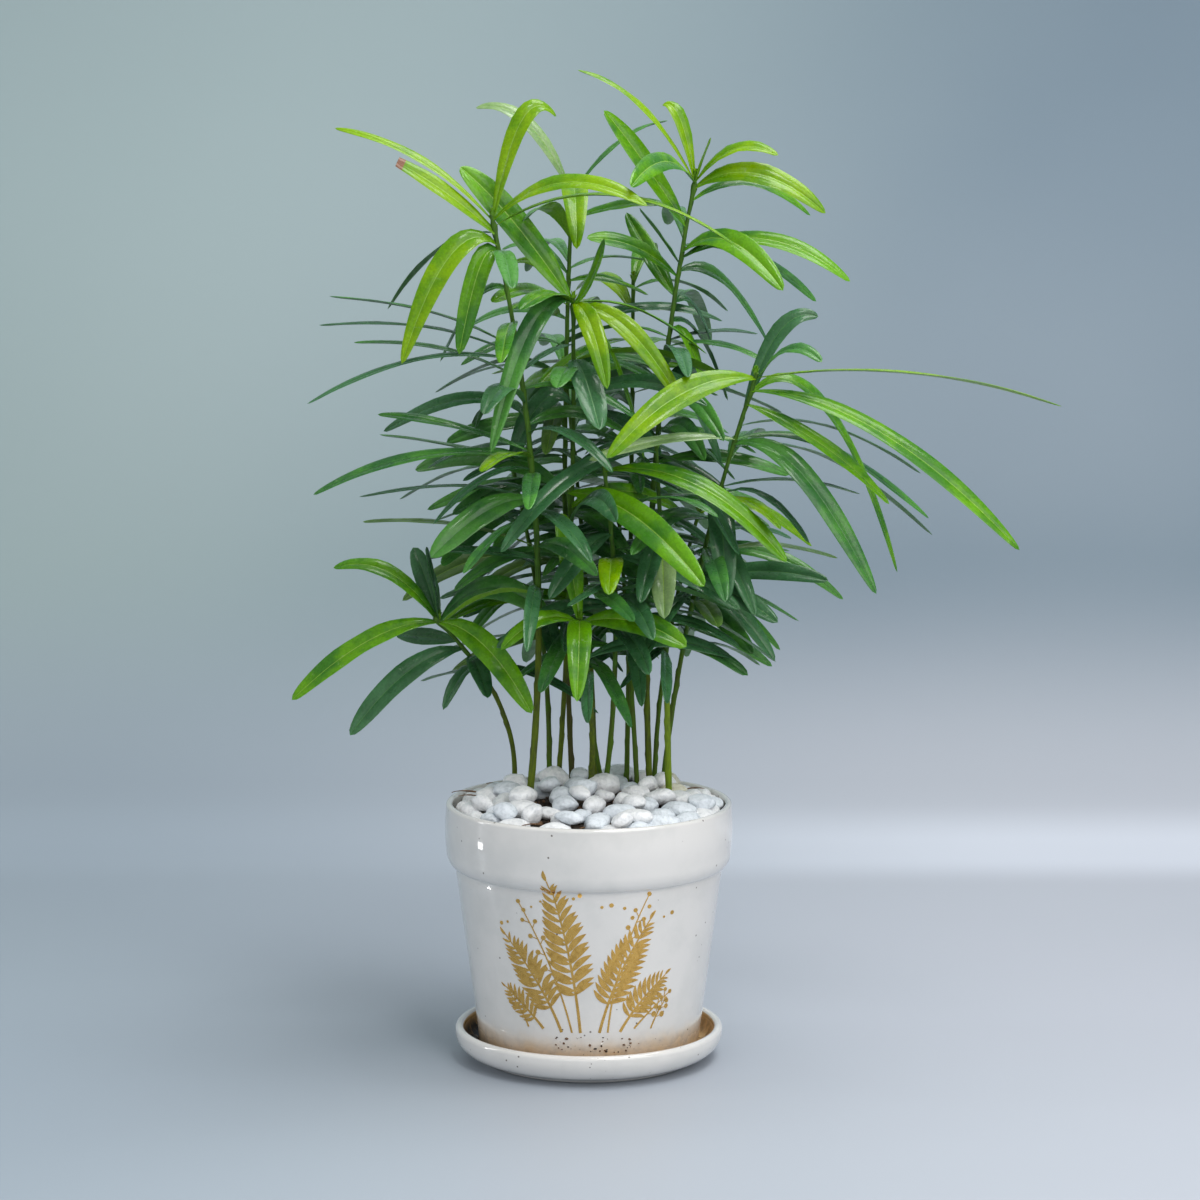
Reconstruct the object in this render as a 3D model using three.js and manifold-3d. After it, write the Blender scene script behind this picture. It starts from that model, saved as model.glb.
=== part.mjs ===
// A potted podocarpus: a clump of seedlings with strap leaves, in a glazed pot on its saucer.
// Millimetres, +Z up. The origin is the middle of the saucer's flat underside, and -Y is the front.

import * as THREE from 'three';
import { mergeVertices } from 'three/addons/utils/BufferGeometryUtils.js';
import Module from 'manifold-3d';

const wasm = await Module();
wasm.setup();

// ---- Driving dimensions ----------------------------------------------------------------

const GAP = 0.3;                 // clearance between pieces that rest on each other
const ROUND_STEPS = 32;          // sides of the pot and the saucer

const RIM_RADIUS = 65;           // pot, outside of its upper band
const POT_TOP = 118.5;
const BAND_FOOT = 89.5;          // height where the band meets the body
const BODY_TOP_RADIUS = 61;
const BODY_FOOT_RADIUS = 50.2;
const LIP = 3.2;                 // thickness of the rim
const WALL = 4;
const POT_FLOOR = 5;
const FOOT_ROUND = 3;            // rounding of the pot's foot
const BAND_ROUND = 8;            // height of the rounding under the band
const BAND_INSIDE = 12;          // height of the slope inside the band

const SAUCER_RADIUS = 61.2;
const SAUCER_HEIGHT = 15.2;
const SAUCER_WAIST = 12;         // height of the saucer's widest place
const SAUCER_FOOT_RADIUS = 49.7;
const SAUCER_FOOT_HEIGHT = 2.2;
const SAUCER_FLOOR = 4.2;
const SAUCER_WALL = 4;
const SAUCER_HOLLOW = 5.5;       // width of the rounding inside its wall

const SOIL_EDGE = 110;           // height of the soil beside the wall
const SOIL_HEAP = 10;            // how much higher it stands in the middle

const BED_RADIUS = 60.5;         // the layer of pebbles on the soil
const BED_DEPTH = 5;
const BED_SIDES = 16;
const PEBBLE = { long: 7.4, wide: 5.9, thick: 4.8, sides: 5, rows: 3 };
const PEBBLE_SPREAD = { small: 0.86, large: 1.1, turn: 12, inward: 2, lean: 0.5 };
const PEBBLE_PITCH = 14.6;       // spacing of the pebbles, ring to ring and round each ring
const FIRST_RING = 0.35;         // radius of their first ring, as a share of the pitch
const PEBBLE_SEED = 11;

const STEM_FOOT_RADIUS = 1.5;
const STEM_TIP_RADIUS = 0.85;
const ROOT_FLARE = 1.35;         // how much wider a stem is where it leaves the soil
const FLARE_HEIGHT = 5;
const STEM_SIDES = 6;
const STEM_SECTIONS = 4;
const STEM_HOLE = { reach: 0.3, sides: 5, sections: 2 };  // the room that the bed leaves for a stem
const TWIG_SIDES = 3;
const TWIG_SECTION = 25;         // length of one section of a twig
const TWIG_SPARE = 1.3;          // a three-sided twig is this much wider, for a like thickness
const BUD_DEPTH = 2.5;           // how far below its end a shoot holds its topmost leaves

const LEAF_THICKNESS = 1.1;      // at the keel, on leaves up to 110 mm long
const LEAF_SLENDERNESS = 100;    // no leaf is longer than this many times its thickness
const LEAF_SECTION = 22;         // length of one section of a leaf, of which it has three or more
const LEAF_SHOULDER = 0.45;      // share of its reach where a leaf starts to bend down
const STATION_CROWD = 0.6;       // how much closer its sections are towards the tip
const BLADE = { stalk: 0.16, fullFrom: 0.5, bluntness: 3, tip: 0.4 };
const LEAF_PITCH = 6.2;          // height between one leaf and the next on a shoot
const LEAF_TURN = 137.5;         // degrees round the stem from one leaf to the next
const SEEDLING_TURN = 53;        // degrees from the first leaf of one seedling to that of the next
const LEAF_CLEARANCE = 1.6;      // kept between the leaves of one shoot and all other shoots
const OWN_CLEARANCE = 0.8;       // kept between leaves of one shoot, away from their roots
const STEM_CLEARANCE = 2.9;      // kept between a leaf and the middle line of another stem
const CROWD_HEIGHT = 13;         // a spiral leaf this near to a bold one, and turned within
const CROWD_BEARING = 52;        // this many degrees of it, is left out
const LOW_LEAF = { reach: 50, width: 8.5, rise: -0.36 };
const HIGH_LEAF = { reach: 72, width: 10, rise: 0 };
const LEAF_SPREAD = {
  bearing: 24, reach: 0.18, rise: 0.3, archLow: 0.16, archHigh: 0.38, narrow: 0.85, wide: 1.1,
  turn: 80, level: 0.35,
};
const LEAF_SEEDS = 1000;         // room for the leaves of one seedling in the run of seeds
const LEAF_SAMPLE = 4;           // spacing of the points that are tested along a leaf
const STEM_SAMPLE = 2.5;         // and along a stem

// Turns of the bearing, with changes of the tip's rise, that are tried one after the other.
const NUDGES = [[0, 0], [9, 2], [-9, 2], [18, -5], [-18, -5], [0, 8], [27, 4], [-27, 4]];

// Each seedling has its foot on the soil (x, y), the bud at its top (x, y, z), the bow of its stem
// to the side at mid height (x, y), the height at which its leaves begin, and how stout its stem
// is. Its bold leaves are the ones that give the crown its outline. Each is given by
// [place up the stem from 0 to 1, bearing, reach, rise of the tip, arch, width, turn to the front].
// A bearing is in degrees, 0 to the right and 90 to the back. Reach is along the level.
const SEEDLINGS = [
  {
    foot: [-35.5, 30], bud: [-70, 5, 202], bow: [12.5, 4], leavesFrom: 172, stout: 0.8, bold: [
      [1.00, 175, 48, 24, 21, 10, 35], [0.99, 190, 67, -34, 20, 11, 40], [0.83, 200, 54, -37, 19, 11, 45],
      [0.99, 325, 52, -37, 20, 12, 50], [1.00, 130, 19, 32, 3, 10, 50], [1.00, 230, 8, 35, 2, 10, 50],
      [0.98, 345, 52, 4, 30, 12, 55], [0.87, 150, 33, 1, 0, 10, 40], [0.79, 292, 24, -16, 7, 10, 0],
      [0.70, 160, 30, -6, 4, 8, 0], [0.72, 207, 18, -18, 14, 9, 10],
    ],
  },
  {
    foot: [-27.5, -8], bud: [-43, -15, 384], bow: [11.5, -2], leavesFrom: 205, stout: 1.1, bold: [
      [1.00, 173, 70, 40, 15, 7, 18], [0.97, 188, 43, 31, 2, 9, 50], [1.00, 25, 31, 45, 43, 9.5, 45],
      [0.99, 340, 72, 7, 28, 11, 40], [0.98, 357, 109, -10, 38, 8, 5], [0.97, 155, 54, -35, 22, 8, 0],
      [0.95, 205, 46, -51, 44, 12, 45], [0.93, 215, 22, -42, 37, 10, 60], [0.88, 150, 35, -34, 22, 10, 30],
      [0.94, 278, 48, -14, 10, 9.5, 0], [0.78, 170, 83, 21, 10, 8, 0], [0.77, 180, 88, 13, 12, 8, 0],
      [0.73, 168, 77, 15, 11, 8, 0], [0.76, 189, 94, -18, 20, 9, 10], [0.73, 140, 28, -24, 16, 9, 20],
      [0.61, 177, 68, 16, 5, 9, 10], [0.59, 165, 71, 11, 2, 8, 0], [0.60, 190, 97, -15, 18, 9, 20],
      [0.62, 150, 54, -13, 9, 8, 10], [0.60, 245, 49, -2, 9, 11, 0], [0.53, 180, 78, 1, 11, 8, 0],
      [0.54, 140, 46, -4, 9, 8, 0], [0.58, 190, 46, -25, 17, 8, 10], [0.53, 210, 52, -23, 15, 12, 45],
      [0.45, 173, 79, 10, 9, 8, 0], [0.43, 196, 45, 5, 3, 9, 20], [0.60, 35, 60, -8, 26, 9, 0],
    ],
  },
  {
    foot: [-18.5, 26], bud: [-36, 52, 268], bow: [5.5, -2], leavesFrom: 182, stout: 0.85, bold: [
      [0.98, 158, 58, -17, 13, 9, 0], [0.71, 150, 58, -4, 8, 8, 0], [0.62, 185, 45, -4, 9, 9, 20],
      [0.56, 210, 40, -1, 13, 9, 20], [0.90, 112, 74, -30, 26, 9, 0],
    ],
  },
  {
    foot: [-14.5, 28], bud: [-7, -8, 347], bow: [2.5, 5], leavesFrom: 190, stout: 0.8, bold: [
      [1.00, 176, 50, 60, 4, 14, 58], [1.00, 150, 32, 17, 15, 8, 20], [1.00, 337, 15, 29, -12, 9, 40],
      [1.00, 236, 41, -1, 12, 12, 10], [0.99, 300, 30, -36, 20, 10, 30], [0.98, 340, 52, -42, 27, 10, 45],
      [0.99, 6, 60, -23, 18, 7, 0], [0.99, 230, 55, -62, 46, 10, 35], [0.96, 14, 33, -64, 41, 8, 20],
      [0.88, 287, 40, -28, 15, 14, 0], [0.86, 260, 41, -5, 8, 11, 0], [0.91, 225, 31, -10, 5, 8, 0],
      [0.79, 214, 29, -20, 30, 12, 40], [0.72, 160, 34, -15, 14, 9, 10],
    ],
  },
  {
    foot: [-7.5, 32], bud: [-7.5, 38, 394], bow: [-3.5, 3], leavesFrom: 188, stout: 0.85, bold: [
      [0.99, 167, 45, 39, 26, 9, 35], [0.98, 273, 46, -20, 30, 12, 0], [1.00, 18, 46, 33, 13, 7, 5],
      [0.95, 5, 43, 7, 5, 9, 20], [0.87, 38, 49, 2, 8, 9, 0], [0.85, 15, 38, -7, 8, 10, 20],
      [0.86, 165, 32, 11, 15, 9, 20], [0.70, 120, 19, -34, 32, 11, 30], [0.88, 105, 80, -8, 26, 9, 0],
    ],
  },
  {
    foot: [0.5, 10], bud: [-4.4, -25, 206], bow: [3, -3], leavesFrom: 176, stout: 0.95, bold: [
      [0.99, 130, 13, 48, 3, 12, 0], [0.99, 340, 50, -8, 12, 12, 50], [0.99, 200, 37, -10, 16, 9, 35],
      [0.97, 268, 36, -29, 26, 11, 0],
    ],
  },
  {
    foot: [7, 27], bud: [-9, -10, 263], bow: [-3, 3], leavesFrom: 180, stout: 0.75, bold: [
      [0.99, 330, 76, -38, 20, 14, 50],
    ],
  },
  {
    foot: [7, 15], bud: [6, -15, 277], bow: [5.5, -3], leavesFrom: 180, stout: 0.85, bold: [
      [0.96, 345, 83, -38, 29, 11, 35], [0.70, 267, 44, -9, 13, 11, 0], [0.78, 213, 37, -28, 12, 10, 25],
    ],
  },
  {
    foot: [17.5, 42], bud: [20.5, 62, 352], bow: [0.5, 4], leavesFrom: 184, stout: 0.8, bold: [
      [1.00, 80, 60, 10, 22, 9, 0], [0.98, 30, 52, -12, 18, 9, 0], [0.80, 100, 88, -34, 30, 10, 0],
      [0.60, 62, 82, -30, 24, 9, 0],
    ],
  },
  {
    foot: [22.5, 24], bud: [14, 40, 240], bow: [0.5, -3], leavesFrom: 178, stout: 0.8, bold: [
      [0.98, 190, 40, -14, 16, 9, 20], [0.93, 300, 37, -14, 16, 10, 10],
    ],
  },
  {
    foot: [28.5, 26], bud: [48.5, 30, 400], bow: [-9, 4], leavesFrom: 190, stout: 1, bold: [
      [0.99, 180, 53, 50, 19, 8, 18], [1.00, 150, 17, 34, 22, 8, 25], [0.99, 330, 8, 20, 1, 7, 20],
      [0.99, 348, 38, 12, 18, 9, 30], [0.98, 350, 60, -11, 25, 12, 50], [0.96, 12, 56, -7, 23, 9, 20],
      [0.92, 190, 38, 52, 0, 12, 58], [0.87, 350, 77, -10, 28, 11, 35], [0.89, 9, 62, -26, 19, 10, 25],
      [0.88, 325, 54, -16, 27, 12, 45], [0.85, 23, 46, -35, 26, 12, 35], [0.84, 200, 44, 18, 10, 11, 45],
      [0.86, 230, 29, 26, 0, 10, 35], [0.81, 137, 30, 37, -4, 9, 30], [0.80, 24, 20, -21, 19, 11, 20],
      [0.77, 18, 33, -33, 25, 11, 25], [0.76, 332, 17, -25, 17, 9, 10], [0.74, 24, 50, -1, 5, 9, 0],
      [0.73, 342, 46, -6, 10, 8, 10], [0.65, 198, 19, 14, 13, 8, 0], [0.64, 28, 30, 2, 8, 9, 0],
      [0.69, 328, 30, -41, 21, 8, 10], [0.58, 138, 45, -10, 21, 10, 20], [0.80, 78, 92, -26, 28, 9, 0],
      [0.90, 95, 70, 4, 22, 9, 0],
    ],
  },
  {
    foot: [30.5, 42], bud: [52, 62, 245], bow: [-5, 0], leavesFrom: 182, stout: 0.75, bold: [
      [0.87, 240, 47, -21, 12, 11, 10], [0.99, 356, 53, -15, 23, 10, 20], [0.77, 25, 57, 8, 15, 9, 10],
      [0.70, 340, 73, 10, 16, 11, 40], [0.85, 70, 72, -30, 22, 9, 0],
    ],
  },
  {
    foot: [36.5, 4], bud: [30, -8, 281], bow: [1, 2], leavesFrom: 184, stout: 1, bold: [
      [0.99, 211, 80, -40, 28, 10, 25], [0.73, 271, 38, -28, 17, 12, 0], [0.77, 255, 37, -28, 9, 10, 0],
      [0.93, 313, 41, -30, 24, 10, 10],
    ],
  },
  {
    foot: [33.5, 30], bud: [74, -25, 315], bow: [-5.5, 8], leavesFrom: 184, stout: 0.8, bold: [
      [1.00, 208, 74, -32, 22, 13, 50], [1.00, 2, 136, -13, 18, 8, 0], [0.96, 349, 119, -68, 36, 11, 30],
      [0.95, 12, 69, -81, 74, 11, 30], [0.93, 347, 64, -43, 12, 10, 30], [0.85, 0, 94, -34, 29, 10, 20],
      [0.83, 15, 114, -42, 31, 8, 5], [0.84, 331, 70, -63, 41, 11, 40], [0.90, 9, 34, 44, 30, 9, 45],
      [0.88, 8, 87, -26, 22, 8, 0], [0.85, 194, 67, -8, 9, 9, 20], [0.96, 326, 36, 14, 23, 8, 25],
      [0.74, 5, 63, -4, 10, 8, 0], [0.72, 331, 45, -19, 22, 8, 5], [0.70, 279, 26, -40, 28, 12, 0],
      [0.71, 278, 46, -13, 12, 9, 0], [0.66, 302, 35, -39, 10, 9, 20], [0.57, 18, 66, -2, 13, 8, 5],
      [0.52, 12, 48, -20, 8, 8, 10], [0.49, 331, 41, -28, 18, 10, 25], [0.46, 6, 41, -21, 18, 9, 25],
      [0.47, 283, 45, -5, 9, 10, 0], [0.36, 19, 38, -10, 12, 8, 0], [0.38, 235, 37, -14, 9, 9, 0],
    ],
  },
  {
    foot: [3, 38], bud: [-12, 78, 312], bow: [3, -4], leavesFrom: 184, stout: 0.8, bold: [
      [1.00, 100, 62, 6, 20, 9, 0], [0.97, 160, 66, -10, 18, 9, 0], [0.78, 118, 84, -38, 30, 10, 0],
      [0.55, 84, 76, -34, 22, 9, 0],
    ],
  },
];

const FINISHES = {
  glaze: { color: 0xe4e6e4, roughness: 0.15 },
  soil: { color: 0x2f2620, roughness: 0.95 },
  pebble: { color: 0xdfe3e6, roughness: 0.6 },
  bark: { color: 0x6f7a35, roughness: 0.7 },
  leaf: { color: 0x3c7a2e, roughness: 0.45 },
};

// ---- Geometry helpers ------------------------------------------------------------------

function radians(degrees) {
  return degrees * Math.PI / 180;
}

function mix(a, b, t) {
  return a + (b - a) * t;
}

// A repeatable run of numbers from 0 to 1.
function seededRun(seed) {
  let state = seed;
  const next = () => {
    state = (state * 1664525 + 1013904223) % 4294967296;
    return state / 4294967296;
  };
  for (let i = 0; i < 4; i += 1) next();
  return next;
}

// A closed geometry as a solid: shared corners merged, and slivers on an axis dropped.
function solidFrom(geometry) {
  const bare = geometry.clone();
  bare.deleteAttribute('normal');
  bare.deleteAttribute('uv');
  const merged = mergeVertices(bare, 1e-4);
  const index = merged.getIndex().array;
  const kept = [];
  for (let i = 0; i < index.length; i += 3) {
    const [a, b, c] = [index[i], index[i + 1], index[i + 2]];
    if (a !== b && b !== c && c !== a) kept.push(a, b, c);
  }
  return new wasm.Manifold(new wasm.Mesh({
    numProp: 3,
    vertProperties: Float32Array.from(merged.getAttribute('position').array),
    triVerts: Uint32Array.from(kept),
  }));
}

// The largest body of a joined solid. Sealed hollows are filled and loose scraps dropped.
function wholeBody(solid) {
  return solid.decompose().reduce((kept, other) => (other.volume() > kept.volume() ? other : kept));
}

function geometryFrom(solid) {
  const mesh = solid.getMesh();
  const geometry = new THREE.BufferGeometry();
  geometry.setAttribute('position', new THREE.BufferAttribute(mesh.vertProperties, 3));
  geometry.setIndex(new THREE.BufferAttribute(mesh.triVerts, 1));
  geometry.computeVertexNormals();
  return geometry;
}

// A profile of [radius, height] pairs that starts and ends on the axis, turned about +Z.
function turned(profile, steps = ROUND_STEPS) {
  const points = profile.map(([radius, height]) => new THREE.Vector2(radius, height));
  return solidFrom(new THREE.LatheGeometry(points, steps).rotateX(Math.PI / 2));
}

// A skin over rings of points that wind anticlockwise seen from the far end, closed at both ends.
// With a tip, the last ring closes to that point.
function lofted(rings, tip) {
  const sides = rings[0].length;
  const points = rings.flat();
  if (tip) points.push(tip);
  const faces = [];
  for (let k = 0; k + 1 < rings.length; k += 1) {
    for (let i = 0; i < sides; i += 1) {
      const a = k * sides + i;
      const b = k * sides + (i + 1) % sides;
      faces.push(a, b, b + sides, a, b + sides, a + sides);
    }
  }
  const last = (rings.length - 1) * sides;
  for (let i = 1; i + 1 < sides; i += 1) {
    faces.push(0, i + 1, i);
    if (!tip) faces.push(last, last + i, last + i + 1);
  }
  if (tip) {
    for (let i = 0; i < sides; i += 1) {
      faces.push(last + i, last + (i + 1) % sides, points.length - 1);
    }
  }
  const geometry = new THREE.BufferGeometry();
  const flat = points.flatMap((p) => [p.x, p.y, p.z]);
  geometry.setAttribute('position', new THREE.Float32BufferAttribute(flat, 3));
  geometry.setIndex(faces);
  return solidFrom(geometry);
}

// A round ring about a point of a curve, square to its direction.
function ringAround(centre, direction, radius, sides) {
  const level = new THREE.Vector3(1, 0, 0);
  const across = level.addScaledVector(direction, -level.dot(direction)).normalize();
  const beyond = new THREE.Vector3().crossVectors(direction, across);
  return Array.from({ length: sides }, (_, i) => {
    const turn = 2 * Math.PI * i / sides;
    return centre.clone()
      .addScaledVector(across, radius * Math.cos(turn))
      .addScaledVector(beyond, radius * Math.sin(turn));
  });
}

// ---- Pot and saucer --------------------------------------------------------------------

// Points of a profile on an arc, as [radius, height] pairs. The angles are in degrees.
function arc([radius, height], wide, high, from, to, steps) {
  return Array.from({ length: steps + 1 }, (_, i) => {
    const angle = radians(mix(from, to, i / steps));
    return [radius + wide * Math.cos(angle), height + high * Math.sin(angle)];
  });
}

// The round top of a wall, from its outside to its inside.
function roundTop(outside, thickness, top) {
  const half = thickness / 2;
  return arc([outside - half, top - half], half, half, 0, 180, 4);
}

function pot() {
  const base = SAUCER_FLOOR + GAP;
  const floor = base + POT_FLOOR;
  const inside = RIM_RADIUS - LIP;
  const footCentre = [BODY_FOOT_RADIUS - FOOT_ROUND, base + FOOT_ROUND];
  const bandCentre = [BODY_TOP_RADIUS, BAND_FOOT + BAND_ROUND];
  return turned([
    [0, base],
    ...arc(footCentre, FOOT_ROUND, FOOT_ROUND, -90, 0, 2),
    ...arc(bandCentre, RIM_RADIUS - BODY_TOP_RADIUS, BAND_ROUND, -90, 0, 3),
    ...roundTop(RIM_RADIUS, LIP, POT_TOP),
    [inside, BAND_FOOT + BAND_INSIDE], [BODY_TOP_RADIUS - WALL, BAND_FOOT],
    [BODY_FOOT_RADIUS - WALL, floor], [0, floor],
  ]);
}

function saucer() {
  const inside = SAUCER_RADIUS - SAUCER_WALL;
  const wallTop = SAUCER_HEIGHT - SAUCER_WALL / 2;
  const bulge = SAUCER_RADIUS - SAUCER_FOOT_RADIUS;
  return turned([
    [0, 0], [SAUCER_FOOT_RADIUS, 0],
    ...arc([SAUCER_FOOT_RADIUS, SAUCER_WAIST], bulge, SAUCER_WAIST - SAUCER_FOOT_HEIGHT, -90, 0, 4),
    ...roundTop(SAUCER_RADIUS, SAUCER_WALL, SAUCER_HEIGHT),
    ...arc([inside - SAUCER_HOLLOW, wallTop], SAUCER_HOLLOW, wallTop - SAUCER_FLOOR, 0, -90, 3).slice(1),
    [0, SAUCER_FLOOR],
  ]);
}

// ---- Soil and pebbles ------------------------------------------------------------------

// The soil is heaped in a low cone.
function soilHeight(radius) {
  return SOIL_EDGE + SOIL_HEAP * (1 - radius / BED_RADIUS);
}

function heapProfile(lift) {
  return [[BED_RADIUS, soilHeight(BED_RADIUS) + lift], [0, soilHeight(0) + lift]];
}

function soil() {
  const floor = SAUCER_FLOOR + GAP + POT_FLOOR;
  return turned([
    [0, floor + GAP], [BODY_FOOT_RADIUS - WALL - GAP, floor + GAP],
    [BODY_TOP_RADIUS - WALL - GAP, BAND_FOOT],
    ...heapProfile(0),
  ], BED_SIDES);
}

// Places on rings round the middle, each moved a little, none where a stem stands.
function pebblePlaces(stems) {
  const next = seededRun(PEBBLE_SEED);
  const places = [];
  const outer = BED_RADIUS - PEBBLE.long;
  const rings = Math.round(outer / PEBBLE_PITCH);
  for (let ring = 0; ring <= rings; ring += 1) {
    const radius = outer * (ring + FIRST_RING) / (rings + FIRST_RING);
    const count = Math.max(1, Math.round(2 * Math.PI * radius / PEBBLE_PITCH));
    const start = next() * 360;
    for (let i = 0; i < count; i += 1) {
      const turn = radians(start + 360 * i / count + (next() - 0.5) * PEBBLE_SPREAD.turn);
      const reach = radius - next() * PEBBLE_SPREAD.inward;
      const place = {
        x: reach * Math.cos(turn),
        y: reach * Math.sin(turn),
        size: mix(PEBBLE_SPREAD.small, PEBBLE_SPREAD.large, next()),
        heading: next() * Math.PI,
        lean: (next() - 0.5) * PEBBLE_SPREAD.lean,
      };
      const room = PEBBLE.wide * place.size + STEM_FOOT_RADIUS;
      const blocked = stems.some(({ foot: [x, y] }) => Math.hypot(x - place.x, y - place.y) < room);
      if (!blocked) places.push(place);
    }
  }
  return places;
}

function pebble({ x, y, size, heading, lean }) {
  const geometry = new THREE.SphereGeometry(1, PEBBLE.sides, PEBBLE.rows);
  geometry.scale(PEBBLE.long * size, PEBBLE.wide * size, PEBBLE.thick * size);
  geometry.rotateX(lean).rotateZ(heading);
  geometry.translate(x, y, soilHeight(Math.hypot(x, y)) + GAP + BED_DEPTH);
  return solidFrom(geometry);
}

function pebbleBed(stems, stemRoom) {
  const under = heapProfile(GAP).reverse();
  const layer = turned([...under, ...heapProfile(GAP + BED_DEPTH)], BED_SIDES);
  const bed = wasm.Manifold.union([layer, ...pebblePlaces(stems).map(pebble)]);
  return bed.subtract(stemRoom);
}

// ---- Stems -----------------------------------------------------------------------------

function stemCurve({ foot: [x, y], bud, bow: [bowX, bowY] }) {
  const ground = soilHeight(Math.hypot(x, y)) + 2 * GAP;
  return new THREE.QuadraticBezierCurve3(
    new THREE.Vector3(x, y, ground),
    new THREE.Vector3(
      (x + bud[0]) / 2 + 2 * bowX,
      (y + bud[1]) / 2 + 2 * bowY,
      (ground + bud[2]) / 2,
    ),
    new THREE.Vector3(...bud),
  );
}

// The stem of a seedling from one place on its curve to another. Its foot is cut level.
function stemPiece(curve, stout, from, to, sides, rings, { wider = 1, extra = 0 } = {}) {
  const height = curve.v2.z - curve.v0.z;
  const sections = Array.from({ length: rings + 1 }, (_, i) => {
    const at = mix(from, to, i / rings);
    const flare = 1 + (ROOT_FLARE - 1) * Math.max(0, 1 - at * height / FLARE_HEIGHT);
    const radius = mix(STEM_FOOT_RADIUS * stout, STEM_TIP_RADIUS, at) * flare * wider + extra;
    const direction = at === 0 ? new THREE.Vector3(0, 0, 1) : curve.getTangent(at);
    return ringAround(curve.getPoint(at), direction, radius, sides);
  });
  return lofted(sections);
}

function placeAtHeight(curve, height) {
  return (height - curve.v0.z) / (curve.v2.z - curve.v0.z);
}

// ---- Leaves ----------------------------------------------------------------------------

// A strap leaf widens from its stalk, stays wide along its middle and closes in a round tip.
function bladeShare(t) {
  const grow = mix(BLADE.stalk, 1, Math.sin(Math.PI / 2 * Math.min(1, t / BLADE.fullFrom)));
  const past = Math.max(0, (t - BLADE.fullFrom) / (1 - BLADE.fullFrom));
  return grow * Math.sqrt(1 - past ** BLADE.bluntness);
}

// The curve of a leaf from its root, with the sections that its blade passes through.
function leafForm(curve, [at, bearing, reach, rise, arch, width, turn]) {
  const root = curve.getPoint(Math.min(at, 1 - BUD_DEPTH / curve.getLength()));
  const [cos, sin] = [Math.cos(radians(bearing)), Math.sin(radians(bearing))];
  const shoulder = LEAF_SHOULDER * reach;
  const line = new THREE.QuadraticBezierCurve3(
    root,
    new THREE.Vector3(root.x + shoulder * cos, root.y + shoulder * sin, root.z + rise / 2 + arch),
    new THREE.Vector3(root.x + reach * cos, root.y + reach * sin, root.z + rise),
  );
  const length = line.getLength();
  const steps = Math.max(3, Math.round(length / LEAF_SECTION));
  const roll = radians(turn) * (cos >= 0 ? 1 : -1);
  const level = new THREE.Vector3(-sin, cos, 0);
  const stations = Array.from({ length: steps + 1 }, (_, i) => {
    const even = i / steps;
    const t = mix(even, Math.sin(Math.PI / 2 * even), STATION_CROWD);
    const along = line.getTangent(t);
    const up = new THREE.Vector3().crossVectors(along, level);
    const side = level.clone().multiplyScalar(Math.cos(roll)).addScaledVector(up, Math.sin(roll));
    const normal = new THREE.Vector3().crossVectors(along, side);
    const half = i === steps ? BLADE.tip : width / 2 * bladeShare(t);
    return { centre: line.getPoint(t), side, normal, half };
  });
  return { stations, length };
}

// The blade as a solid: a flat upper face and a keel under the midrib.
function leafSolid({ stations, length }) {
  const keel = Math.max(LEAF_THICKNESS, length / LEAF_SLENDERNESS);
  const rings = stations.slice(0, -1).map(({ centre, side, normal, half }) => [
    centre.clone().addScaledVector(side, half),
    centre.clone().addScaledVector(side, -half),
    centre.clone().addScaledVector(normal, -keel),
  ]);
  return lofted(rings, stations[stations.length - 1].centre);
}

// ---- Keeping leaves apart --------------------------------------------------------------

// How many places are tested along a panel, each in the middle and at both edges.
function samples(length) {
  return Math.max(2, Math.ceil(length / LEAF_SAMPLE));
}

// Points over the blade, and the flat panels between its stations.
function leafReach({ stations }) {
  const points = [];
  const panels = [];
  for (let k = 0; k + 1 < stations.length; k += 1) {
    const [a, b] = [stations[k], stations[k + 1]];
    const along = b.centre.clone().sub(a.centre);
    const length = along.length();
    along.divideScalar(length);
    const side = a.side.clone().add(b.side);
    side.addScaledVector(along, -side.dot(along)).normalize();
    const normal = new THREE.Vector3().crossVectors(along, side);
    panels.push({ start: a.centre, along, side, normal, length, from: a.half, to: b.half });
    const steps = samples(length);
    for (let i = 0; i < steps; i += 1) {
      const t = i / steps;
      const centre = a.centre.clone().lerp(b.centre, t);
      const half = mix(a.half, b.half, t);
      for (const edge of [-1, 0, 1]) points.push(centre.clone().addScaledVector(side, edge * half));
    }
  }
  points.push(stations[stations.length - 1].centre);
  return { points, panels, box: new THREE.Box3().setFromPoints(points) };
}

// The same, without the stretch next to the stem.
function outerReach({ points, panels, box }) {
  return { points: points.slice(3 * samples(panels[0].length)), panels: panels.slice(1), box };
}

function distanceToPanel(point, panel) {
  const offset = point.clone().sub(panel.start);
  const run = offset.dot(panel.along);
  const share = Math.min(1, Math.max(0, run / panel.length));
  const past = Math.max(0, -run, run - panel.length);
  const beside = Math.max(0, Math.abs(offset.dot(panel.side)) - mix(panel.from, panel.to, share));
  return Math.hypot(past, beside, offset.dot(panel.normal));
}

function pointsTouch(points, panels, clearance) {
  return points.some((p) => panels.some((panel) => distanceToPanel(p, panel) < clearance));
}

function leavesTouch(one, other, clearance) {
  const room = one.box.clone().expandByScalar(clearance);
  if (!room.intersectsBox(other.box)) return false;
  return pointsTouch(one.points, other.panels, clearance)
    || pointsTouch(other.points, one.panels, clearance);
}

function stemPoints(curve) {
  const steps = Math.ceil(curve.getLength() / STEM_SAMPLE);
  return Array.from({ length: steps + 1 }, (_, i) => curve.getPoint(i / steps));
}

// ---- The rule for leaves ---------------------------------------------------------------

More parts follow.
